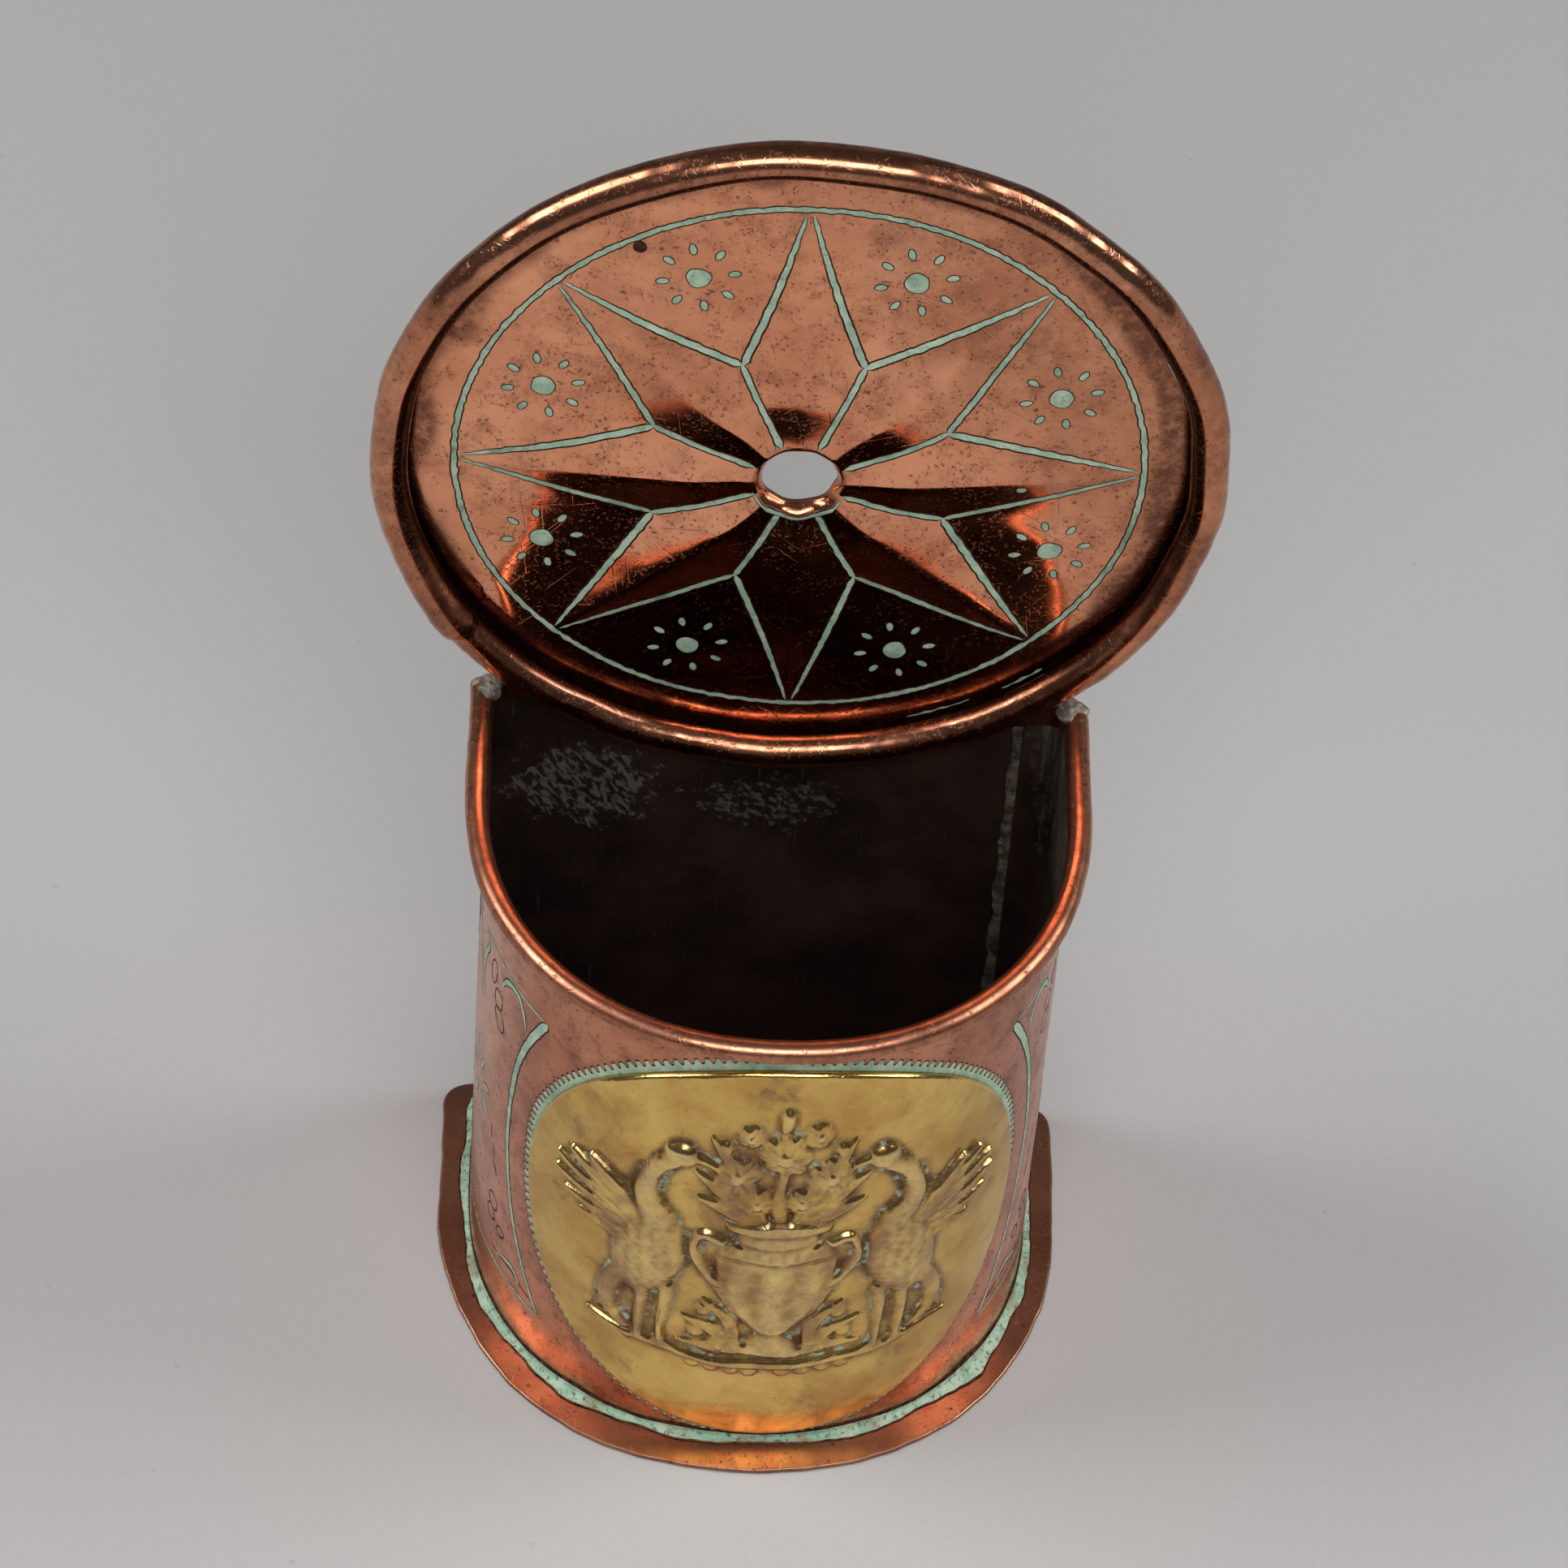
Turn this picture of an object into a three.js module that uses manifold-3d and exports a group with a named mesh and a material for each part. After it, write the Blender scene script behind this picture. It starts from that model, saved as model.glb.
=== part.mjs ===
// Wall pot of soldered sheet copper: a bow-fronted pot with a wired rim stands on a flanged foot plate,
// a round backplate with a raised eight-pointed star and a hanging hole is soldered inside its back wall,
// and a round brass medallion is soldered to the bow. Millimetres, +Z up, the front faces -Y.
import * as THREE from 'three';
import { mergeVertices } from 'three/addons/utils/BufferGeometryUtils.js';
import Module from 'manifold-3d';

const wasm = await Module();
wasm.setup();

// Driving dimensions
const sheet = 0.45; // copper sheet
const gap = 0.05; // clearance between soldered pieces
const wallHalfWidth = 25.4; // outer face of the pot's sides
const bowDepth = 26.5; // outer face of the bow at its foot, in front of the straight sides
const bowPower = 2.17; // superellipse exponent of the bow
const bowLean = 1.0; // how far the bow leans out between foot and rim
const sideDepth = 13.65; // outer face of the back wall, behind the bow's centre
const cornerRadius = 1.6; // outer bend radius at the back corners
const rimHeight = 55.46; // centre of the rim's rolled edge
const rimRoll = 1.02; // outside radius of the rim's roll
const rimFlare = 0.06; // how far the wall steps out into its roll
const flareHeight = 2.6;
const rollLip = 4.9; // angle at which a roll's free lip ends, in radians round from the pot's inside
const wireClearance = 0.06;
const tabEdge = 21.6; // x where the tab that the back wall is lapped on ends, inside the pot
const lapEnd = 23.6; // x where the back wall ends, outside that tab
const footThickness = 0.6;
const footHalfWidth = 28.4;
const footBowDepth = 30.26;
const footCorner = 3.0;
const discHeight = 84.73; // centre of the backplate
const discRing = 34.79; // radius of the centre line of its rolled edge
const discRoll = 1.62;
const discRise = 0.8; // how far the plate is dished forward inside its rolled edge
const circleRadius = 29.1; // circle that holds the star
const discDome = 1.0; // how far the plate bulges inside that circle
const starValley = 13.3; // radius of the star's inner corners
const starRise = 1.6; // height of the star above the plate, where its ridges would meet
const starPoints = 8;
const holeRadius = 3.15;
const holeLip = 1.3; // how far the hole's edge is turned back
const medallionHalfWidth = 23.7;
const medallionHalfHeight = 25.3;
const medallionHeight = 27.1; // its middle, above the ground
const medallionShift = 1.35; // its middle, to the right of the bow's
const medallionThickness = 0.5;
const medallionDome = 0.7; // how far its middle bulges
const fillet = 0.9; // legs of the solder fillets

const footTop = footThickness + gap;
const bowSteps = 36;
const cornerSteps = 4;
const discSteps = 7; // lathe segments per star point
const tabFace = sideDepth - sheet - gap; // outer face of the lap seam's tab
const depthShift = (footBowDepth - sideDepth) / 2; // puts the origin under the middle of the depth

// A closed mesh with shared vertices, no flat triangles, and its faces pointing out
function closed(geometry) {
  const bare = geometry.clone();
  for (const name of Object.keys(bare.attributes)) {
    if (name !== 'position') bare.deleteAttribute(name);
  }
  bare.clearGroups();
  const merged = mergeVertices(bare, 1e-4);
  const index = merged.index.array;
  const at = (i) => new THREE.Vector3().fromBufferAttribute(merged.attributes.position, i);
  const kept = [];
  let volume = 0;
  for (let i = 0; i < index.length; i += 3) {
    const [a, b, c] = [index[i], index[i + 1], index[i + 2]];
    if (a === b || b === c || c === a) continue;
    kept.push(a, b, c);
    volume += at(a).dot(at(b).cross(at(c)));
  }
  if (volume < 0) kept.reverse();
  merged.setIndex(kept);
  return merged;
}

function toSolid(geometry) {
  const mesh = closed(geometry);
  return new wasm.Manifold(new wasm.Mesh({
    numProp: 3,
    vertProperties: new Float32Array(mesh.attributes.position.array),
    triVerts: new Uint32Array(mesh.index.array),
  }));
}

function toGeometry(solid) {
  const mesh = solid.getMesh();
  const geometry = new THREE.BufferGeometry();
  geometry.setAttribute('position', new THREE.BufferAttribute(new Float32Array(mesh.vertProperties), 3));
  geometry.setIndex(new THREE.BufferAttribute(new Uint32Array(mesh.triVerts), 1));
  return geometry;
}

// Stations of the pot's outline, each a point with its outward normal, seen from above going clockwise:
// along the right side to the front, round the bow, and back along the left side
function bowStations(halfWidth, depth, rightEnd, leftEnd, sideSteps = 3) {
  const stations = [];
  const side = (sign, y) => ({ x: sign * halfWidth, y, nx: sign, ny: 0 });
  for (let i = 0; i < sideSteps; i += 1) stations.push(side(1, rightEnd * (1 - i / sideSteps)));
  for (let i = 0; i <= bowSteps; i += 1) {
    const angle = (Math.PI * i) / bowSteps;
    const c = Math.cos(angle);
    const s = Math.sin(angle);
    const x = halfWidth * Math.sign(c) * Math.abs(c) ** (2 / bowPower);
    const y = -depth * s ** (2 / bowPower);
    const nx = (Math.sign(x) * (Math.abs(x) / halfWidth) ** (bowPower - 1)) / halfWidth;
    const ny = -((-y / depth) ** (bowPower - 1)) / depth;
    const length = Math.hypot(nx, ny);
    stations.push({ x, y, nx: nx / length, ny: ny / length });
  }
  for (let i = 1; i <= sideSteps; i += 1) stations.push(side(-1, (leftEnd * i) / sideSteps));
  return stations;
}

// A quarter bend at a back corner, turning from the first direction to the second
function cornerStations(sign, backFace, from, to) {
  const stations = [];
  for (let i = 0; i <= cornerSteps; i += 1) {
    const angle = from + ((to - from) * i) / cornerSteps;
    const nx = Math.cos(angle);
    const ny = Math.sin(angle);
    const x = sign * (wallHalfWidth - cornerRadius) + cornerRadius * nx;
    stations.push({ x, y: backFace - cornerRadius + cornerRadius * ny, nx, ny });
  }
  return stations;
}

const back = (x, y) => ({ x, y, nx: 0, ny: 1 });
const sideEnd = sideDepth - cornerRadius;
const potBow = bowStations(wallHalfWidth, bowDepth, tabFace - cornerRadius, sideEnd);

// A point of the pot's wall: n outward from its outer face, at height z
function wallPoint(station, n, z) {
  const lean = station.ny < 0 ? bowLean * station.ny ** 2 * (z / rimHeight) : 0;
  const out = n + lean;
  return new THREE.Vector3(station.x + out * station.nx, station.y + out * station.ny, z);
}

// Sweeps a section, drawn in n and z, along a row of stations
function sweep(section, stations, place = wallPoint) {
  const spans = stations.length - 1;
  const geometry = new THREE.ExtrudeGeometry(section, { depth: spans, steps: spans, bevelEnabled: false });
  const position = geometry.attributes.position;
  for (let i = 0; i < position.count; i += 1) {
    const station = stations[Math.round(position.getZ(i))];
    const point = place(station, position.getX(i), position.getY(i));
    position.setXYZ(i, point.x, point.y, point.z);
  }
  return geometry;
}

function polygon(points) {
  return new THREE.Shape(points.map(([n, z]) => new THREE.Vector2(n, z)));
}

function round(n, z, radius, sides = 8) {
  const points = [];
  for (let i = 0; i < sides; i += 1) {
    const angle = (2 * Math.PI * (i + 0.5)) / sides;
    points.push([n + radius * Math.cos(angle), z + radius * Math.sin(angle)]);
  }
  return polygon(points);
}

const rimCentre = -sheet + rimFlare + rimRoll; // n of the rim roll's centre

// The wall's top: it steps out by the flare, then rolls over the wire and ends in a free lip
function rimSection(low) {
  const flare = (z) => rimFlare * THREE.MathUtils.smoothstep(z, rimHeight - flareHeight, rimHeight);
  const inside = [];
  const outside = [];
  const rise = 3;
  for (let i = 0; i <= rise; i += 1) {
    const z = rimHeight - flareHeight * (1 - i / rise);
    if (i < rise) inside.push([-sheet + flare(z), z]);
    if (i < rise) outside.push([flare(z), z]);
  }
  const arc = 8;
  for (let i = 0; i <= arc; i += 1) {
    const angle = Math.PI - (rollLip * i) / arc;
    const direction = [Math.cos(angle), Math.sin(angle)];
    const point = (radius) => [rimCentre + radius * direction[0], rimHeight + radius * direction[1]];
    inside.push(point(rimRoll));
    outside.push(point(rimRoll - sheet));
  }
  return polygon([[-sheet, low], ...inside, ...outside.reverse(), [0, low]]);
}

// Pot: one strip of sheet bent into a D, its ends lapped on the back wall, its rim rolled over a wire
function potBody() {
  const right = cornerStations(1, tabFace, Math.PI / 2, 0);
  const left = cornerStations(-1, sideDepth, Math.PI, Math.PI / 2);
  const strip = [back(tabEdge, tabFace), ...right, ...potBow, ...left, back(lapEnd, sideDepth)];
  const shoulder = rimHeight - flareHeight;
  const band = (low, high) => polygon([[-sheet, low], [0, low], [0, high], [-sheet, high]]);
  const overlap = 1;
  const backTop = rimHeight + rimRoll / 2;
  const upright = (stations) => sweep(band(shoulder - overlap, backTop), stations);
  const solid = toSolid(sweep(band(footTop, shoulder), strip))
    .add(toSolid(upright([back(tabEdge, tabFace), ...right, potBow[0]])))
    .add(toSolid(upright([potBow[potBow.length - 1], ...left, back(lapEnd, sideDepth)])))
    .add(toSolid(sweep(rimSection(shoulder - overlap), potBow)));
  return toGeometry(solid);
}

function rimWire() {
  const radius = rimRoll - sheet - wireClearance;
  return sweep(round(rimCentre, rimHeight, radius), potBow);
}

// Foot: a flat D-shaped plate that projects all round the front and sides
function basePlate() {
  const footSide = sideDepth - footCorner;
  const bow = bowStations(footHalfWidth, footBowDepth, footSide, footSide, 1);
  const outline = new THREE.Shape(bow.map(({ x, y }) => new THREE.Vector2(x, y)));
  outline.quadraticCurveTo(-footHalfWidth, sideDepth, -footHalfWidth + footCorner, sideDepth);
  outline.lineTo(footHalfWidth - footCorner, sideDepth);
  outline.quadraticCurveTo(footHalfWidth, sideDepth, footHalfWidth, sideDepth - footCorner);
  return new THREE.ExtrudeGeometry(outline, { depth: footThickness, bevelEnabled: false, curveSegments: 4 });
}

const plateBack = sideDepth - sheet - gap; // rear face of the backplate's sheet at its edge

// Height of the star above its ground: plane facets between each tip, inner corner and the centre
function starHeight(radius, angle) {
  const sector = (2 * Math.PI) / starPoints;
  const turn = Math.abs(THREE.MathUtils.euclideanModulo(angle + sector / 2, sector) - sector / 2);
  const along = radius * Math.cos(turn);
  const across = radius * Math.sin(turn);
  const cornerAlong = starValley * Math.cos(sector / 2);
  const cornerAcross = starValley * Math.sin(sector / 2);
  const fall = starRise / circleRadius;
  const crossFall = (starRise - fall * cornerAlong) / cornerAcross;
  return Math.max(0, starRise - fall * along - crossFall * across);
}

// Backplate: dished plate with the star, its edge rolled forward over a wire, its hole's edge turned back
function backDisc() {
  const rollCentre = plateBack - discRoll;
  const rings = [4.6, 8, starValley, 17, 21, 25, circleRadius, 31.4];
  const ground = (radius) => {
    const dish = discRise * (1 - THREE.MathUtils.smoothstep(radius, circleRadius, discRing));
    const dome = discDome * (1 - Math.min(1, radius / circleRadius) ** 2.5);
    return dish + dome;
  };
  const front = rings.map((radius) => [radius, plateBack - sheet - ground(radius)]);
  const rear = rings.map((radius) => [radius, plateBack - ground(radius)]);
  const lip = (share, y) => [holeRadius + (rings[0] - holeRadius) * (1 - share), y + holeLip * share ** 2];
  const hole = [
    lip(0.75, rear[0][1]),
    [holeRadius, front[0][1] + holeLip + sheet],
    lip(1, front[0][1]),
    lip(0.75, front[0][1]),
    lip(0.4, front[0][1]),
  ];
  const outer = [];
  const inner = [];
  const arc = 10;
  for (let i = 0; i <= arc; i += 1) {
    const angle = Math.PI / 2 - (rollLip * i) / arc;
    const point = (radius) => [discRing + radius * Math.cos(angle), rollCentre + radius * Math.sin(angle)];
    outer.push(point(discRoll));
    inner.push(point(discRoll - sheet));
  }
  const loop = [...hole, ...front, ...inner, ...outer.reverse(), ...rear.reverse()];
  const profile = [...loop, loop[0]].map(([radius, y]) => new THREE.Vector2(radius, y));
  const geometry = new THREE.LatheGeometry(profile, starPoints * discSteps);
  const position = geometry.attributes.position;
  for (let i = 0; i < position.count; i += 1) {
    const x = position.getX(i);
    const z = position.getZ(i);
    const radius = Math.hypot(x, z);
    const rise = starHeight(Math.max(radius, rings[0]), Math.atan2(x, z));
    position.setXYZ(i, x, position.getY(i) - rise, z + discHeight);
  }
  return geometry;
}

function discWire() {
  const radius = discRoll - sheet - wireClearance;
  const section = round(discRing, plateBack - discRoll, radius).getPoints();
  const profile = [...section, section[0]];
  return new THREE.LatheGeometry(profile, starPoints * discSteps).translate(0, 0, discHeight);
}

// The wall's outline at even spacing along the bow, measured from its foremost point
function bowAt(distance) {
  const middle = (potBow.length - 1) / 2;
  const step = Math.sign(distance);
  let left = Math.abs(distance);
  let i = middle;
  for (;;) {
    const a = potBow[i];
    const b = potBow[i + step] ?? a;
    const span = Math.hypot(b.x - a.x, b.y - a.y);
    if (left <= span || span === 0) {
      const t = span === 0 ? 0 : left / span;
      const mix = (key) => a[key] + (b[key] - a[key]) * t;
      return { x: mix('x'), y: mix('y'), nx: mix('nx'), ny: mix('ny') };
    }
    left -= span;
    i += step;
  }
}

// Medallion: a slightly domed, nearly round brass disc, curved to the bow
function medallion() {
  const rings = [0, 0.16, 0.33, 0.5, 0.67, 0.84, 1];
  const dome = (ring) => medallionDome * (1 - ring ** 2);
  const rear = rings.map((ring) => new THREE.Vector2(ring, dome(ring)));
  const front = rings.map((ring) => new THREE.Vector2(ring, dome(ring) + medallionThickness));
  const geometry = new THREE.LatheGeometry([...rear, ...front.reverse()], 40);
  const position = geometry.attributes.position;
  const clearance = 3 * gap;
  for (let i = 0; i < position.count; i += 1) {
    const z = medallionHeight + medallionHalfHeight * position.getZ(i);
    const station = bowAt(medallionHalfWidth * position.getX(i) - medallionShift);
    const point = wallPoint(station, clearance + position.getY(i), z);
    position.setXYZ(i, point.x, point.y, point.z);
  }
  return geometry;
}

// Solder fillet between the pot's wall and its foot
function baseSolder() {
  const corner = [gap, footThickness + gap];
  const section = polygon([corner, [corner[0] + fillet, corner[1]], [corner[0], corner[1] + fillet]]);
  return sweep(section, potBow);
}

// Solder along the visible edge of the lap seam
function seamSolder() {
  const corner = [tabEdge - gap, tabFace];
  const outline = new THREE.Shape([
    new THREE.Vector2(corner[0], corner[1] - sheet + gap),
    new THREE.Vector2(corner[0], corner[1]),
    new THREE.Vector2(corner[0] - fillet, corner[1]),
  ]);
  const bottom = footTop + gap;
  const top = rimHeight - flareHeight;
  const geometry = new THREE.ExtrudeGeometry(outline, { depth: top - bottom, bevelEnabled: false });
  return geometry.translate(0, 0, bottom);
}

// Solder in the corner between the backplate's rolled edge and the back wall
function discSolder() {
  const rollCentre = plateBack - discRoll;
  const reach = Math.acos((discHeight - rimHeight) / (discRing + discRoll)) - 0.07;
  const touch = discRoll + gap;
  const onRoll = (angle) => [discRing + touch * Math.cos(angle), rollCentre + touch * Math.sin(angle)];
  const section = polygon([onRoll(1.15), onRoll(0.75), onRoll(0.35), [discRing + discRoll + 0.5, plateBack]]);
  const steps = 24;
  const stations = [];
  for (let i = 0; i <= steps; i += 1) stations.push(reach * (1 - (2 * i) / steps));
  const place = (angle, radius, y) => new THREE.Vector3(
    radius * Math.sin(angle),
    y,
    discHeight - radius * Math.cos(angle),
  );
  return sweep(section, stations, place);
}

// Lump of solder that joins the end of the rim's roll to the back wall
function cornerSolder(sign) {
  const lump = new THREE.SphereGeometry(1, 16, 10).scale(2.0, 1.5, 1.1);
  const n = sign * (wallHalfWidth + rimCentre);
  lump.translate(n - sign * 0.6, sideEnd, rimHeight + rimRoll + 0.3);
  const clear = new THREE.BoxGeometry(20, 20, 20);
  clear.translate(n, sideEnd, rimHeight + rimRoll + gap - 10);
  return toGeometry(toSolid(lump).subtract(toSolid(clear)));
}

const copper = { color: 0xb8714c, metalness: 1, roughness: 0.3 };
const finishes = {
  copper,
  brass: { color: 0xa88a50, metalness: 1, roughness: 0.38 },
  iron: { color: 0x5a5652, metalness: 1, roughness: 0.6 },
  solder: { color: 0xa9ac9c, metalness: 0.7, roughness: 0.6 },
};

const group = new THREE.Group();

function addPiece(name, geometry, finish) {
  const mesh = new THREE.Mesh(closed(geometry), new THREE.MeshStandardMaterial(finishes[finish]));
  mesh.name = name;
  mesh.position.y = depthShift;
  group.add(mesh);
}

addPiece('pot_body', potBody(), 'copper');
addPiece('rim_wire', rimWire(), 'iron');
addPiece('base_plate', basePlate(), 'copper');
addPiece('back_disc', backDisc(), 'copper');
addPiece('disc_wire', discWire(), 'iron');
addPiece('medallion', medallion(), 'brass');
addPiece('base_solder', baseSolder(), 'solder');
addPiece('seam_solder', seamSolder(), 'solder');
addPiece('disc_solder', discSolder(), 'solder');
addPiece('corner_solder_left', cornerSolder(-1), 'solder');
addPiece('corner_solder_right', cornerSolder(1), 'solder');

export default group;
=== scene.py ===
"""Looks of a wall pot of soldered sheet copper: a bow-fronted pot with a wired rim on a flanged foot plate,
a round backplate with a raised star and a hanging hole, and a domed brass medallion with a cast-like relief.

Shapes are worked out in millimetres in a frame whose origin lies on the ground under the centre of the bow,
with the bow facing -Y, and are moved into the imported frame, in metres, when their meshes are made."""

import math

import bmesh
import bpy
import numpy as np
from mathutils import Matrix, Vector


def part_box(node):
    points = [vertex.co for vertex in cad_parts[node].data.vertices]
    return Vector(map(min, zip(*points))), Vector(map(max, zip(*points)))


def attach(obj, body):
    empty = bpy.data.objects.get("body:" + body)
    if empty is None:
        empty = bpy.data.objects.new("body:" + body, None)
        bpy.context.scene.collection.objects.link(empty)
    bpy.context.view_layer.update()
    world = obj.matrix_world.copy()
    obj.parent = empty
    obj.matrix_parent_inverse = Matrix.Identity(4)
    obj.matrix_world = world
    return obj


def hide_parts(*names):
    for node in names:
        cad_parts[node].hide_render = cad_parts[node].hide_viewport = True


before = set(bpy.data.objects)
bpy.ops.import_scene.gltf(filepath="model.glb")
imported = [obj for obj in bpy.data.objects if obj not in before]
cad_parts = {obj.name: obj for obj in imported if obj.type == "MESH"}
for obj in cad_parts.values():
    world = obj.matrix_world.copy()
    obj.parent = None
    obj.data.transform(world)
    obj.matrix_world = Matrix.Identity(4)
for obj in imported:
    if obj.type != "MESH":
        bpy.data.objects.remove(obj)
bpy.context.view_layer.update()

MM = 0.001
FINE = 1.0  # mesh spacing, in multiples of the final one

# Sizes of the object, in millimetres
SHEET = 0.45
WALL_HALF_WIDTH = 25.4
BOW_DEPTH = 26.5
BOW_POWER = 2.17
BOW_LEAN = 1.0
BACK_FACE = 13.65  # outer face of the back wall
TAB_FACE = 13.15  # outer face of the tab that the back wall laps
CORNER_RADIUS = 1.6
TAB_EDGE = 21.6
LAP_END = 23.6
RIM_HEIGHT = 55.46
RIM_ROLL = 1.02
RIM_FLARE = 0.06
FLARE_HEIGHT = 2.6
ROLL_TURN = 4.9  # radians from a roll's root round to its free lip
FOOT_THICKNESS = 0.6
FOOT_HALF_WIDTH = 28.4
FOOT_BOW_DEPTH = 30.26
FOOT_CORNER = 3.0
DISC_HEIGHT = 84.73
DISC_RING = 34.79
DISC_ROLL = 1.62
DISC_RISE = 0.8
DISC_DOME = 1.0
CIRCLE_RADIUS = 29.1
STAR_VALLEY = 13.3
STAR_RISE = 2.25
HOLE_DIP = 0.6  # how far the plate dips round the hole
HOLE_DIP_RADIUS = 10.0
STAR_POINTS = 8
SECTOR = 2 * math.pi / STAR_POINTS
STAR_TURN = math.radians(-1.4)
HOLE_RADIUS = 3.15
HOLE_LIP = 0.85
LIP_RADIUS = 4.0  # where the hole's edge starts to turn back
FLOWER_RING = 23.4
MEDALLION_HALF_WIDTH = 23.7
MEDALLION_HALF_HEIGHT = 25.3
MEDALLION_HEIGHT = 27.1
MEDALLION_SHIFT = 1.35
MEDALLION_THICKNESS = 0.5
MEDALLION_DOME = 0.7
MEDALLION_GAP = 0.15
FOOT_TOP = FOOT_THICKNESS + 0.05
PLATE_BACK = BACK_FACE - SHEET - 0.05
RIM_CENTRE = -SHEET + RIM_FLARE + RIM_ROLL

# The bow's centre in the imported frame, from the foot plate's front edge
DEPTH_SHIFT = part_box("base_plate")[0].y / MM + FOOT_BOW_DEPTH


# --- meshes -----------------------------------------------------------------------------------------------

def grid_faces(rows, columns, wrap_rows=False, wrap_columns=False):
    """Quads of a grid of rows x columns points, numbered row by row."""
    r = np.arange(rows if wrap_rows else rows - 1)[:, None]
    c = np.arange(columns if wrap_columns else columns - 1)[None, :]
    r1, c1 = (r + 1) % rows, (c + 1) % columns
    corners = (r, c), (r, c1), (r1, c1), (r1, c)
    return np.stack([row * columns + column for row, column in corners], -1).reshape(-1, 4)


def volume(points, faces):
    """Signed volume of a closed mesh of quads and triangles."""
    total = 0.0
    for k in range(1, faces.shape[1] - 1):
        a, b, c = points[faces[:, 0]], points[faces[:, k]], points[faces[:, k + 1]]
        total += np.einsum("ij,ij->", a, np.cross(b, c))
    return total


def linked(name, data):
    made = bpy.data.objects.new(name, data)
    bpy.context.scene.collection.objects.link(made)
    return made


def make_piece(name, points, faces, materials, slot, replaces=(), face_material=None, extra_faces=(),
               values=None, welded=True):
    """A closed smooth mesh from points in millimetres; values are named numbers at its points."""
    points = np.asarray(points, float).reshape(-1, 3)
    faces = np.asarray(faces)
    if volume(points, faces) < 0:
        faces = faces[:, ::-1]
        extra_faces = [face[::-1] for face in extra_faces]
    moved = (points + (0, DEPTH_SHIFT, 0)) * MM
    mesh = bpy.data.meshes.new(name)
    mesh.from_pydata(moved.tolist(), [], faces.tolist() + [list(face) for face in extra_faces])
    for material in materials:
        mesh.materials.append(material)
    index = np.zeros(len(mesh.polygons), int)
    if face_material is not None:
        index[: len(faces)] = face_material
    mesh.polygons.foreach_set("material_index", index)
    mesh.shade_smooth()
    for key, numbers in (values or {}).items():
        layer = mesh.attributes.new(key, "FLOAT", "POINT")
        layer.data.foreach_set("value", np.asarray(numbers, np.float32).ravel())
    mesh.validate()
    if welded:
        weld(mesh)
    piece = linked(name, mesh)
    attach(piece, "root")
    if replaces:
        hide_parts(*replaces)


def weld(mesh):
    """Joins points that lie on each other, drops what that leaves flat, and turns all faces outward."""
    work = bmesh.new()
    work.from_mesh(mesh)
    bmesh.ops.remove_doubles(work, verts=work.verts, dist=1e-8)
    bmesh.ops.recalc_face_normals(work, faces=work.faces)
    work.to_mesh(mesh)
    work.free()


def waves(points, length, seed):
    """Smooth made-by-hand unevenness, about -1 to 1, with features about length across."""
    rng = np.random.default_rng(seed)
    points = np.atleast_1d(np.asarray(points, float))
    total, count = np.zeros(points.shape[:-1]), 7
    for _ in range(count):
        direction = rng.normal(size=points.shape[-1])
        direction *= 2 * math.pi / (length * rng.uniform(0.7, 1.6) * np.linalg.norm(direction))
        total += np.sin(points @ direction + rng.uniform(0, 2 * math.pi))
    return total / math.sqrt(count)


def uneven(points, *layers):
    """A sum of layers of waves, each given by its height, its length and its seed."""
    return sum(height * waves(points, length, seed) for height, length, seed in layers)


def smoothstep(value, low, high):
    t = np.clip((value - low) / (high - low), 0, 1)
    return t * t * (3 - 2 * t)


def join(*parts):
    """Joins coordinates, given as numbers or arrays, into points."""
    return np.stack(np.broadcast_arrays(*parts), -1)


def unit(angle):
    return join(np.cos(angle), np.sin(angle))


def turned(a, b, turn):
    return a * math.cos(turn) - b * math.sin(turn), a * math.sin(turn) + b * math.cos(turn)


def distances(line):
    """The distance of each point of a line from its start."""
    return np.concatenate([[0], np.cumsum(np.hypot(*np.diff(line, axis=0).T))])


# --- the pot's outline ------------------------------------------------------------------------------------

def bow_curve(half_width, depth, count):
    """The bow from its right end round the front to its left end, with outward normals."""
    turn = np.linspace(0, math.pi, count)
    c, s = np.cos(turn), np.sin(turn)
    x = half_width * np.sign(c) * np.abs(c) ** (2 / BOW_POWER)
    y = -depth * np.abs(s) ** (2 / BOW_POWER)
    nx = np.sign(x) * (np.abs(x) / half_width) ** (BOW_POWER - 1) / half_width
    ny = -((-y / depth) ** (BOW_POWER - 1)) / depth
    length = np.hypot(nx, ny)
    return join(x, y, nx / length, ny / length)


def straight(start, end, normal, count):
    share = np.linspace(0, 1, count)[:, None]
    place = np.array(start) * (1 - share) + np.array(end) * share
    return np.hstack([place, np.tile(normal, (count, 1))])


def corner(sign, face, first, last):
    n = unit(np.linspace(first, last, 40))
    middle = np.array([sign * (WALL_HALF_WIDTH - CORNER_RADIUS), face - CORNER_RADIUS])
    return np.hstack([middle + CORNER_RADIUS * n, n])


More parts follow.
